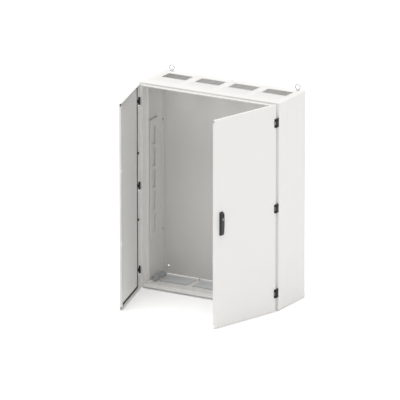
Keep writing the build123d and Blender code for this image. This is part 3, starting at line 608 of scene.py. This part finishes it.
bolt_box = next(o["box_m"] for o in record["physics"]["openings"] if o["name"] == "upper_bolt_hole")
hole_x, hole_y, _ = np.mean(bolt_box, axis=0)
hole_r, hole_c = 3.8 * mm, -front - hole_y
side_section = with_marks(frame_section(0, *SIDE_WIDTHS), 1, hole_marks(hole_c, hole_r))
end_section = with_marks(frame_section(SKIRT, *END_WIDTHS), 1, hole_marks(hole_c, hole_r))
print("frame lip", round(lip / mm, 1), "mm forward, flange", round(rear / mm, 1), "mm back")

# %% Posts
MIRROR = {1: -X, -1: X}
for side, sign in SIDES.items():
    spot = place((sign * half_w, -front, 0), MIRROR[sign], Z, -Y)
    part = lay(spot, run_grid(side_section, end_section[:, 0], height - end_section[:, 0]))
    settle(give_wall(new_piece(f"{side}_post_folded", [part]), SHEET, CUT_EDGE), f"{side}_frame_post")

# %% Head and sill
side_return, end_return = SIDE_WIDTHS[1], END_WIDTHS[1]
bolt_b = hole_x + half_w
bolt_share = (hole_marks(bolt_b, hole_r) - side_return) / (2 * half_w - 2 * side_return)


def in_bolt_hole(a, b, c):
    """True on the return, inside the hole for the passive leaf's bolt."""
    return (np.abs(a - end_return) < 1e-5) & (np.hypot(b - bolt_b, c - hole_c) < hole_r)


def rail(name, node, spot):
    """Head or sill: the frame section along X, with the passive leaf's bolt hole in its return."""
    grid = run_grid(end_section, side_section[:, 0], 2 * half_w - side_section[:, 0], bolt_share)
    on_return = np.isclose(grid[..., 0], end_return, atol=1e-6)
    punched = punch(grid.copy(), [1, 2], (bolt_b, hole_c), hole_r)
    grid[on_return] = punched[on_return]
    part = lay(spot, grid, drop=in_bolt_hole)
    settle(give_wall(new_piece(name, [part]), SHEET, CUT_EDGE), node)


rail("head_folded", "frame_head", place((-half_w, -front, height), -Z, X, -Y))
rail("sill_folded", "frame_sill", place((-half_w, -front, 0), Z, X, -Y))

# %% [markdown]
# ## Body sheets
# The roof is a shallow pan whose four cable entries are sunk by three millimetres, so that a gland plate would lie
# flush. The side walls carry two cut-round plates each, which are still held by four bridges. The rear tray wraps
# round the back corners and covers the ends of the side walls. All of them are grids with points where a cut-out has
# an edge, because a grid keeps long flat faces clean where a boolean would shade them in wedges.

# %% Roof
ENTRY = np.array([208, 125]) * mm
LEDGE, DROP, STEP = 12 * mm, 3 * mm, 3 * mm
field_x = np.array([-375, -125, 125, 375]) * mm
entry_y = (corners("gland_plates")[0][1] + corners("gland_plates")[1][1]) / 2
roof_spot = place((-half_w, -front, height), X, Y, Z)
entries = [(x + half_w - ENTRY[0] / 2, x + half_w + ENTRY[0] / 2, entry_y + front - ENTRY[1] / 2,
            entry_y + front + ENTRY[1] / 2) for x in field_x]
wide, deep = 2 * half_w, front + back
path_a = bend_path([(0, -SKIRT), (0, 0), (wide, 0), (wide, -SKIRT)], BEND)
path_b = bend_path([(0, -SKIRT), (0, 0), (deep, 0), (deep, -SKIRT)], BEND)
path_a = with_marks(path_a, 0, np.concatenate([step_marks(e[0], e[1], STEP, LEDGE - STEP) for e in entries]))
path_b = with_marks(path_b, 0, step_marks(entries[0][2], entries[0][3], STEP, LEDGE - STEP))
roof_grid = press(pan_grid(path_a, path_b, -SKIRT), entries, DROP, STEP)


def in_entry(a, b, c):
    """True inside the ledge of a roof entry."""
    return depth_in(a, b, entries) > LEDGE


roof_part = lay(roof_spot, roof_grid, drop=in_entry)
settle(give_wall(new_piece("roof_folded", [roof_part]), SHEET, CUT_EDGE), "roof")

# %% Side walls and their knock-outs
GAP, BRIDGE = 0.6 * mm, 2.0 * mm
TRAY_FOLD = 27 * mm
tray = back - TRAY_FOLD
knock_z = np.array([182.5, 1217.5]) * mm
plates = [(front - ENTRY[1] / 2, front + ENTRY[1] / 2, z - ENTRY[0] / 2, z + ENTRY[0] / 2) for z in knock_z]


def plate_cut(plate):
    """A test that is true in the cut round a plate, but not in its four bridges."""
    mid_a, mid_b = (plate[0] + plate[1]) / 2, (plate[2] + plate[3]) / 2

    def in_cut(a, b, c):
        return (depth_in(a, b, [plate]) < GAP) & (np.abs(a - mid_a) > BRIDGE) & (np.abs(b - mid_b) > BRIDGE)
    return in_cut


for side, sign in SIDES.items():
    spot = place((sign * half_w, -front, 0), Y, Z, sign * X)
    marks_a = np.array([SKIRT, front + tray, *plates[0][:2]])
    marks_b = np.array([SKIRT, height - SKIRT, *plates[0][2:], *plates[1][2:]])
    grid = np.zeros((len(marks_a), len(marks_b), 3))
    grid[..., 0], grid[..., 1] = np.sort(marks_a)[:, None], np.sort(marks_b)
    wall = lay(spot, grid, drop=lambda a, b, c: depth_in(a, b, plates) > 0)
    settle(give_wall(new_piece(f"{side}_wall_sheet", [wall]), SHEET, 0.2 * mm), f"{side}_side_wall")
    parts = []
    for plate in plates:
        grid = np.zeros((6, 6, 3))
        for axis, (low, high) in enumerate((plate[:2], plate[2:])):
            middle = (low + high) / 2
            marks = np.array([low, low + GAP, middle - BRIDGE, middle + BRIDGE, high - GAP, high])
            grid[..., axis] = marks if axis else marks[:, None]
        parts.append(lay(spot, grid, drop=plate_cut(plate)))
    settle(give_wall(new_piece(f"{side}_knockout_plates", parts), SHEET, 0.15 * mm), f"{side}_side_knockouts")

# %% Rear tray
tray_spot = place((half_w, back, SKIRT), -X, Z, Y)
tray_high = height - 2 * SKIRT
fix_a, fix_b, fix_r = 20 * mm, 60 * mm - SKIRT, 5.5 * mm
tray_a = bend_path([(0, -TRAY_FOLD), (0, 0), (wide, 0), (wide, -TRAY_FOLD)], BEND)
hole_at = [(a, b) for a in (fix_a, wide - fix_a) for b in (fix_b, tray_high - fix_b)]
tray_a = with_marks(tray_a, 0, np.concatenate([hole_marks(a, fix_r) for a in (fix_a, wide - fix_a)]))
share = np.concatenate([hole_marks(b, fix_r) for b in (fix_b, tray_high - fix_b)]) / tray_high
grid = run_grid(tray_a, 0, tray_high, share)
for at in hole_at:
    grid = punch(grid, [0, 1], at, fix_r)


def in_fixing(a, b, c):
    """True inside one of the four wall fixing holes."""
    return np.min([np.hypot(a - at[0], b - at[1]) for at in hole_at], axis=0) < fix_r


settle(give_wall(new_piece("rear_tray_folded", [lay(tray_spot, grid, drop=in_fixing)]), SHEET, 0.2 * mm), "back_tray")

# %% Floor and gland plates
FLOOR_LAP = 8 * mm
SCREW_AT = 100 * mm, 58.5 * mm
DOME = np.array([(0, 2.0), (1.6, 1.9), (2.7, 1.4), (3.3, 0.7), (3.5, 0), (0, 0)]) * mm
floor_marks_a = np.concatenate([[SHEET, wide - SHEET], *[(e[0] + FLOOR_LAP, e[1] - FLOOR_LAP) for e in entries]])
floor_marks_b = np.array([SHEET, deep - SHEET, entries[0][2] + FLOOR_LAP, entries[0][3] - FLOOR_LAP])
grid = np.zeros((len(floor_marks_a), len(floor_marks_b), 3))
grid[..., 0], grid[..., 1] = np.sort(floor_marks_a)[:, None], np.sort(floor_marks_b)
floor_spot = place((-half_w, -front, SHEET), X, Y, Z)
floor_part = lay(floor_spot, grid, drop=lambda a, b, c: depth_in(a, b, entries) > FLOOR_LAP)
settle(give_wall(new_piece("floor_panel", [floor_part]), SHEET, CUT_EDGE), "floor")
plate_low, plate_high = corners("gland_plates")
plate_parts, screw_parts = [], []
for x in field_x:
    low_x, high_x = x - ENTRY[0] / 2, x + ENTRY[0] / 2
    plate_parts.append(soft_block(world, (low_x, plate_low[1], plate_low[2]), (high_x, plate_high[1], plate_high[2]),
                                  0.6 * mm, 3 * mm))
    for dx, dy in ((-1, -1), (-1, 1), (1, -1), (1, 1)):
        at = (x + dx * SCREW_AT[0], entry_y + dy * SCREW_AT[1], plate_high[2])
        screw_parts.append(turned(world, at, DOME, 20))
settle(new_piece("gland_plates_soft", plate_parts), "gland_plates")
settle(new_piece("gland_screws_domed", screw_parts), "gland_plate_screws")

# %% [markdown]
# ## Inside the body
# Each side wall carries a ladder rail: a hat section with five windows whose edges are turned in towards the wall.
# The same press that sinks the roof entries makes the turned edges here, with a deeper and narrower step.

# %% Side rails
RAIL_STAND, TURN_IN, TURN_WALL = 10 * mm, 6.5 * mm, 1.6 * mm
rail_half, window = 53 * mm, np.array([46, 126]) * mm
window_z = height / 2 + (np.arange(5) - 2) * 150 * mm
for side, sign in SIDES.items():
    low, high = corners(f"{side}_side_rail")
    spot = place((sign * (half_w - SHEET - RAIL_STAND), 0, 0), Y, Z, -sign * X)
    windows = [(-window[0] / 2, window[0] / 2, z - window[1] / 2, z + window[1] / 2) for z in window_z]
    hat = bend_path([(-rail_half, -RAIL_STAND), (-rail_half, 0), (rail_half, 0), (rail_half, -RAIL_STAND)], 2.0 * mm)
    hat = with_marks(hat, 0, step_marks(-window[0] / 2, window[0] / 2, TURN_WALL, 0.0))
    up = np.concatenate([step_marks(w[2], w[3], TURN_WALL, 0.0) for w in windows])
    grid = run_grid(hat, low[2], high[2], (up - low[2]) / (high[2] - low[2]))
    grid = press(grid, windows, TURN_IN, TURN_WALL)
    part = lay(spot, grid, drop=lambda a, b, c: depth_in(a, b, windows) > TURN_WALL)
    settle(give_wall(new_piece(f"{side}_ladder_rail", [part]), 1.2 * mm, 0.25 * mm), f"{side}_side_rail")

# %% [markdown]
# ## Leaves
# A leaf is a pan 19 mm deep. Its hinge edge is notched for the three hinges, and the deep part of the fold of its
# free edge stops short of both corners. It is one grid: the section over the width and the one over the height are
# added, which gives all four folds and their corners at once.

# %% Leaf shells
FOLD, SHALLOW, RELIEF = 19 * mm, 5.7 * mm, 20.5 * mm
FOLD_NOTCH, FACE_NOTCH, NOTCH_DEEP = 30.3 * mm, 12 * mm, 13 * mm
HUB_HALF = 9 * mm
hinge_z = np.array([125, 700, 1275]) * mm


def leaf_part(side):
    """The pan of a leaf, without its hinge notches, corner reliefs, doubled corner cells and spindle hole."""
    low, high = local_box(f"{side}_door_shell", LEAF[side])
    wide_leaf, high_leaf = high[0] - low[0], high[1] - low[1]
    spot = place(to_world(LEAF[side], np.array([low[0], low[1], high[2]])), *LEAF[side].axes)
    path_a = bend_path([(0, -FOLD), (0, 0), (wide_leaf, 0), (wide_leaf, -FOLD)], BEND)
    path_b = bend_path([(0, -FOLD), (0, 0), (high_leaf, 0), (high_leaf, -FOLD)], BEND)
    notch = hinge_z - low[1]
    hub_a, hub_b, _ = (np.array(joints["handle_turn"]["pos_m"]) - spot.origin) @ spot.axes.T
    path_a = with_marks(path_a, 0, [NOTCH_DEEP, hub_a - HUB_HALF, hub_a + HUB_HALF])
    path_a = with_marks(path_a, 1, [-SHALLOW])
    edges = [notch - FOLD_NOTCH, notch + FOLD_NOTCH, notch - FACE_NOTCH, notch + FACE_NOTCH]
    path_b = with_marks(path_b, 0, [RELIEF, high_leaf - RELIEF, *np.concatenate(edges), hub_b - HUB_HALF,
                                    hub_b + HUB_HALF])

    def cut_away(a, b, c):
        near_hinge = np.abs(b[:, None] - notch).min(-1)
        fold_notch = (a < BEND) & (c < -BEND) & (near_hinge < FOLD_NOTCH)
        face_notch = (a < NOTCH_DEEP) & (near_hinge < FACE_NOTCH)
        corner = (a > wide_leaf - 1e-5) & (np.minimum(b, high_leaf - b) < RELIEF) & (c < -SHALLOW)
        doubled = (np.minimum(a, wide_leaf - a) < 1e-5) & (np.minimum(b, high_leaf - b) < 1e-5)
        hub = (side == "right") & (np.abs(a - hub_a) < HUB_HALF) & (np.abs(b - hub_b) < HUB_HALF)
        return fold_notch | face_notch | corner | doubled | hub
    return lay(spot, pan_grid(path_a, path_b, -FOLD), drop=cut_away)


for side in SIDES:
    settle(give_wall(new_piece(f"{side}_leaf_folded", [leaf_part(side)]), SHEET, CUT_EDGE), f"{side}_door_shell")

# %% [markdown]
# The foam seal is poured on as a low loaf that runs round the inner face. Its height over its width is a power of a
# sine, which is fuller than a half circle, and a rounded rectangle carries that section round. The right leaf closes
# over the left one, so it has a second strip along its free edge.

# %% Seals
SEAL_HALF, SEAL_HIGH, SEAL_FOOT, SEAL_TURN, STRIP_END = 6 * mm, 4.2 * mm, 1.6 * mm, 9 * mm, 26 * mm
for side in SIDES:
    low, high = local_box(f"{side}_door_seal", LEAF[side])
    middle = (low[:2] + high[:2]) / 2
    half = (high[:2] - low[:2]) / 2 - SEAL_HALF
    turn = np.radians(np.linspace(0, 180, 9))
    out = np.concatenate([[SEAL_HALF], SEAL_HALF * np.cos(turn) * 0.96, [-SEAL_HALF]])
    level = np.concatenate([[0], SEAL_FOOT + (SEAL_HIGH - SEAL_FOOT) * np.sin(turn) ** 0.6, [0]])
    rows = [np.column_stack([ring(half[0] + o, half[1] + o, SEAL_TURN + o, 5) + middle, np.full(24, high[2] - h)])
            for o, h in zip(out, level)]
    parts = [lay(LEAF[side], np.array(rows), wrap=True)]
    if side == "right":
        parts.append(soft_block(LEAF[side], (high[0] - 2 * SEAL_HALF, STRIP_END, low[2]),
                                (high[0], height - STRIP_END, high[2] - 2 * mm), 1.5 * mm))
    settle(new_piece(f"{side}_foam_seal", parts), f"{side}_door_seal")

# %% [markdown]
# ## Hinges
# Each hinge is a black zinc casting in two halves on a steel pin. The cabinet half is a block with one knuckle, the
# leaf half a plate with two, and every edge is rounded as it comes out of the mould. Lofts are used, because each
# can have its own round, where one bevel over the joined halves would cut into the narrow necks.

# %% Hinges
KNUCKLE, HINGE, BARREL = 11 * mm, 29 * mm, 5.5 * mm
WING_BACK, WING_FACE, WING_ROOT, WING_REACH = -6 * mm, -3 * mm, 13.5 * mm, 15.5 * mm
for side, sign in SIDES.items():
    leaf_at, fixed, moving = LEAF[side], [], []
    pin_x, pin_y = leaf_at.origin[:2]
    for z in hinge_z:
        outer, inner_x = sorted((sign * half_w, sign * (half_w - 10 * mm)))
        neck_low, neck_high = sorted((sign * half_w, sign * (abs(pin_x) - BARREL)))
        fixed.append(soft_block(world, (outer, -front - 14 * mm, z - HINGE), (inner_x, -front, z + HINGE),
                                1.6 * mm, 2.2 * mm))
        fixed.append(soft_block(world, (neck_low, pin_y, z - KNUCKLE), (neck_high, -front - 12 * mm, z + KNUCKLE),
                                0.8 * mm))
        fixed.append(turned(world, (pin_x, pin_y, z), bar_profile(BARREL, -KNUCKLE, KNUCKLE, 0.8 * mm)))
        for end in (-1, 1):
            near, far = sorted((z + end * (KNUCKLE + 0.3 * mm), z + end * HINGE))
            moving.append(turned(world, (pin_x, pin_y, 0), bar_profile(BARREL, near, far, 1.2 * mm)))
            moving.append(soft_block(leaf_at, (0, near, WING_BACK), (WING_REACH, far, WING_FACE), 0.9 * mm))
        moving.append(soft_block(leaf_at, (WING_ROOT, z - HINGE, WING_BACK), (WING_REACH, z + HINGE, WING_FACE),
                                 0.6 * mm))
    settle(new_piece(f"{side}_hinge_blocks", fixed), f"{side}_hinge_frame_halves")
    settle(new_piece(f"{side}_hinge_wings", moving), f"{side}_hinge_door_halves")

# %% [markdown]
# ## Swing handle
# The handle is a moulded base with a bowed lever in front of it. The lever is a shell: its section is a pan, and its
# length follows an arc that is highest in the middle and ends in a round head over the tilt pin. It could be pulled
# out of a box by hand, but two paths say the same shape in a few numbers and follow the joints' own points.

# %% Handle base
leaf_right = LEAF["right"]
low, high = local_box("handle_base", leaf_right)
spindle_at = (np.array(joints["handle_turn"]["pos_m"]) - leaf_right.origin) @ leaf_right.axes.T
base_half, base_mid = (high - low) / 2, (high + low) / 2


def base_ring(draw):
    """Outline of the base, drawn in, with points along its straight sides as well."""
    line = ring(base_half[0] - draw, base_half[1] - draw, 5 * mm, 5)
    line = np.concatenate([line, line[:1]])
    share = np.linspace(0, 1, 7)[:-1, None]
    dense = [line[i] * (1 - share) + line[i + 1] * share for i in range(len(line) - 1)]
    return np.concatenate(dense) + base_mid[:2]


outer_ring = base_ring(0)
arm = outer_ring - spindle_at[:2]
hub_ring = spindle_at[:2] + arm / np.linalg.norm(arm, axis=1, keepdims=True) * 12.3 * mm
steps = [(hub_ring, low[2]), (hub_ring, high[2]), (base_ring(3.2 * mm), high[2]),
         (base_ring(1.6 * mm), high[2] - 0.5 * mm), (base_ring(0.5 * mm), high[2] - 1.7 * mm),
         (outer_ring, high[2] - 3.2 * mm), (outer_ring, low[2]), (hub_ring, low[2])]
rows = [np.column_stack([flat, np.full(len(flat), level)]) for flat, level in steps]
settle(new_piece("handle_base_moulded", [lay(leaf_right, np.array(rows), wrap=True)]), "handle_base")

# %% Lever
low, high = local_box("handle_lever", leaf_right)
tilt_at = (np.array(joints["lever_tilt"]["pos_m"]) - leaf_right.origin) @ leaf_right.axes.T
key_at = (np.array(joints["key_turn"]["pos_m"]) - leaf_right.origin) @ leaf_right.axes.T
head_r = high[1] - tilt_at[1]
lever_half, lever_mid = (high[0] - low[0]) / 2, (high[0] + low[0]) / 2
FOOT, CROWN, TIP, EAR, CORE, EAR_BELOW, LEVER_WALL = np.array([8, 13, 3, 5.3, 8.6, 5, 2]) * mm
foot = (low[1], low[2] + FOOT)
fit = np.polyfit([0, 0.5, 1], [foot[1], low[2] + CROWN, tilt_at[2] + head_r], 2)
share = np.linspace(0.02, 1, 40)
bow = np.column_stack([foot[0] + (tilt_at[1] - foot[0]) * share, np.polyval(fit, share)])
turn = np.radians(np.linspace(90, 14, 9))[1:]
nose = np.column_stack([tilt_at[1] + head_r * np.cos(turn), tilt_at[2] + head_r * np.sin(turn)])
turn = np.radians(np.linspace(180, 95, 6))
tip = np.column_stack([foot[0] + TIP * (1 + np.cos(turn)), foot[1] - TIP * (1 - np.sin(turn))])
length = np.concatenate([[(foot[0], low[2])], tip, bow, nose])
across = bend_path([(-lever_half, -20 * mm), (-lever_half, 0), (lever_half, 0), (lever_half, -20 * mm)], 3.5 * mm, 5)
across[:, 0] += lever_mid
across = with_marks(across, 0, [*hole_marks(lever_mid, CORE), lever_mid - EAR, lever_mid + EAR])
slot_from = spindle_at[1] - EAR_BELOW
length = with_marks(length, 0, [*hole_marks(key_at[1], CORE), slot_from])
below = np.where(length[:, 0] > tilt_at[1],
                 tilt_at[2] - np.sqrt(np.maximum(0, head_r ** 2 - (length[:, 0] - tilt_at[1]) ** 2)), low[2])
grid = pan_grid(across, length, below)
grid = punch(grid, [0, 1], key_at[:2], CORE)


def in_lever(a, b, c):
    """True in the slot for the ear and in the bore for the lock cylinder."""
    slot = (np.abs(a - lever_mid) < EAR) & (b > slot_from)
    return slot | (np.hypot(a - key_at[0], b - key_at[1]) < CORE)


lever = new_piece("handle_lever_shell", [lay(leaf_right, grid, drop=in_lever)], 50)
settle(give_wall(lever, LEVER_WALL, 0, False), "handle_lever")

# %% Lock cylinder
low, high = local_box("lock_cylinder", leaf_right)
core = (high[0] - low[0]) / 2
turn = np.radians(np.linspace(0, 90, 4))
levels = np.column_stack([core - 0.6 * mm * (1 - np.sin(turn)), high[2] - 0.6 * mm * (1 - np.cos(turn))])
face_at = high[2] - 0.5 * mm
profile = [(0, face_at), (core - 2.2 * mm, face_at), (core - 1.7 * mm, high[2]), *levels[1:], (core, low[2]),
           (0, low[2])]
core_at = np.array([(low[0] + high[0]) / 2, (low[1] + high[1]) / 2, 0])
key_low = core_at + (-1.2 * mm, -4.5 * mm, face_at - 0.2 * mm)
key_high = core_at + (1.2 * mm, 4.5 * mm, face_at + 0.15 * mm)
key_slot = soft_block(leaf_right, key_low, key_high, 0.1 * mm)
settle(new_piece("lock_core_turned", [turned(leaf_right, core_at, profile), key_slot]), "lock_cylinder")

# %% [markdown]
# ## Lifting eyes
# A forged eyebolt is a ring that grows out of a round collar, so its foot flares where the two meet. A torus and a
# turned foot say it with two profiles; a curve with a round section would need a second tool for the foot.

# %% Lifting eyes
RING, WIRE = 17.5 * mm, 4.0 * mm
FLARE = np.array([(0, 8.0), (4.2, 8.0), (4.6, 6.5), (5.6, 5.2), (7.4, 4.4), (8.6, 4.0), (9.0, 3.5), (9.0, 0.4),
                  (8.6, 0), (5.0, 0), (5.0, -12.4), (4.4, -13.0), (0, -13.0)]) * mm
around, about = np.radians(np.linspace(0, 360, 49)), np.radians(np.arange(0, 360, 20))
reach = RING + WIRE * np.cos(about)
for side in SIDES:
    low, high = corners(f"{side}_eyebolt")
    middle = (low + high) / 2
    grid = np.empty((49, 18, 3))
    grid[..., 0] = middle[0] + reach * np.cos(around)[:, None]
    grid[..., 1] = middle[1] - WIRE * np.sin(about)
    grid[..., 2] = high[2] - RING - WIRE + reach * np.sin(around)[:, None]
    foot_part = turned(world, (middle[0], middle[1], height), FLARE)
    settle(new_piece(f"{side}_eye_forged", [lay(world, grid, wrap=True), foot_part]), f"{side}_eyebolt")

# %% [markdown]
# ## Small fittings
# The small parts that are left are plates, clips and screws. Each takes its size from its own node, one solid at a
# time, and gets the small rounds of a pressed plate, a moulding or a forged head. A bevel on the CAD triangles would
# round every flat facet as well, so the boxes are measured and new shapes are laid in them.

# %% Boxes of the solids in a node


def solid_boxes(node, spot):
    """Local box of each separate solid: points joined by an edge take the lower label of the two until all agree."""
    copy = frame["nodes"][node].data.copy()
    merge_points(copy, 1e-6)
    pairs = np.empty(len(copy.edges) * 2, np.int32)
    copy.edges.foreach_get("vertices", pairs)
    local = local_points(copy, spot)
    bpy.data.meshes.remove(copy)
    ends, label, before = pairs.reshape(-1, 2), np.arange(len(local)), None
    while before is None or (label != before).any():
        before = label.copy()
        np.minimum.at(label, ends, label[ends].min(1, keepdims=True))
    return [(local[label == k].min(0), local[label == k].max(0)) for k in np.unique(label)]


def soften_node(node, spot, edge, corner=None):
    """Every solid of a node as a soft block of the same size."""
    parts = [soft_block(spot, low, high, edge, corner) for low, high in solid_boxes(node, spot)]
    settle(new_piece(f"{node}_soft", parts), node)


# %% Clips, strips and feet
for side in SIDES:
    soften_node(f"{side}_seal_clips", LEAF[side], 1.6 * mm)
    soften_node(f"{side}_door_stiffener", LEAF[side], 0.3 * mm, 6 * mm)
soften_node("earth_bar_feet", world, 0.8 * mm)
soften_node("earth_bar", world, 1.0 * mm)

# %% Hexagon heads


def hexagon(spot, at, across, high, steps=36):
    """Hexagon head whose top edge is turned down to a cone: the ring radius follows the six flats of the head."""
    turn = np.linspace(0, 2 * math.pi, steps, endpoint=False)
    flats = across / np.cos(turn % (math.pi / 3) - math.pi / 6)
    flat = np.zeros(steps)
    radius = np.array([flat, flat + 0.86 * across, np.minimum(flats, across * 1.02), flats, flats, flat])
    level = np.array([flat + high, flat + high, flat + high, high - 0.55 * (flats - across), flat, flat])
    points = np.stack([at[0] + radius * np.cos(turn), at[1] + radius * np.sin(turn), at[2] + level], -1)
    return lay(spot, points, wrap=True)


for side, sign in SIDES.items():
    spot = place((0, 0, 0), Y, Z, -sign * X)
    parts = []
    for low, high in solid_boxes(f"{side}_corner_bolts", spot):
        middle = (low + high) / 2
        flat = (high[0] - low[0]) / 2 * 0.985
        parts.append(hexagon(spot, (middle[0], middle[1], low[2] + 2 * mm), min(flat, 6.9 * mm), 5.5 * mm))
        parts.append(turned(spot, (middle[0], middle[1], 0), bar_profile(3 * mm, low[2], low[2] + 3 * mm, 0.2 * mm)))
    settle(new_piece(f"{side}_corner_bolt_heads", parts), f"{side}_corner_bolts")

parts = []
for low, high in solid_boxes("earth_studs", world):
    middle = (low + high) / 2
    thread = np.linspace(high[2] - 0.8 * mm, low[2] + 6.6 * mm, 41)
    radius = 3.75 * mm + 0.25 * mm * np.cos(np.arange(41) * math.pi / 2)
    profile = np.concatenate([[(0, high[2]), (3.2 * mm, high[2])], np.column_stack([radius, thread]),
                              [(3.6 * mm, low[2]), (0, low[2])]])
    parts.append(turned(world, (middle[0], middle[1], 0), profile))
    parts.append(hexagon(world, (middle[0], middle[1], low[2]), 6.49 * mm, 6.5 * mm))
settle(new_piece("earth_studs_threaded", parts), "earth_studs")

# %% Earth clamps
parts = []
for low, high in solid_boxes("earth_clamps", world):
    middle = (low + high) / 2
    shoulder = high[2] - 3 * mm
    parts.append(soft_block(world, low, (high[0], high[1], shoulder), 0.9 * mm))
    head = [(0, high[2] - 0.5 * mm), (1.6 * mm, high[2] - 0.5 * mm), (1.8 * mm, high[2]), (3.0 * mm, high[2]),
            (3.5 * mm, high[2] - 0.5 * mm), (3.5 * mm, shoulder), (0, shoulder)]
    parts.append(turned(world, (middle[0], middle[1], 0), head))
settle(new_piece("earth_clamps_screwed", parts), "earth_clamps")
low, high = corners("main_earth_clamp")
middle_x = (low[0] + high[0]) / 2
body_part = soft_block(world, (low[0], low[1] + 5 * mm, low[2]), high, 2.5 * mm)
cap_spot = place((middle_x, low[1] + 5 * mm, 22 * mm), X, Z, -Y)
cap = np.array([(0, 3.6), (2.2, 3.6), (2.6, 5), (7.6, 5), (9.4, 4.2), (10, 2.6), (10, 0), (0, 0)]) * mm
settle(new_piece("main_clamp_cast", [body_part, turned(cap_spot, (0, 0, 0), cap)]), "main_earth_clamp")

# %% Corner rails and eyebolt nuts
for side, sign in SIDES.items():
    spot = place((0, 0, 0), Y, Z, -sign * X)
    low, high = local_box(f"{side}_corner_rail", spot)
    settle(new_piece(f"{side}_corner_strip", [soft_block(spot, low, high, 0.5 * mm, 5 * mm)]), f"{side}_corner_rail")
    low, high = corners(f"{side}_eyebolt_nut")
    middle = (low + high) / 2
    under = place((0, 0, 0), X, -Y, -Z)
    nut = hexagon(under, (middle[0], -middle[1], -high[2]), (high[1] - low[1]) / 2 * 0.995, high[2] - low[2])
    settle(new_piece(f"{side}_eyebolt_hex_nut", [nut]), f"{side}_eyebolt_nut")

# %% [markdown]
# Everything that is plain or hidden stays as the CAD model has it, and only gets its finish. The sizes of the whole
# object and of each made piece are measured last.

# %% Finish what stays as modelled
for node in body_of:
    target = frame["nodes"][node]
    target.data.materials.clear()
    target.data.materials.append(FINISHES[slot_of[node]])
print("pieces made:", len(made))

# %% Sizes
low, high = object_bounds()
boxes = [np.array(p.evaluated_get(bpy.context.evaluated_depsgraph_get()).bound_box) for p in made.values()]
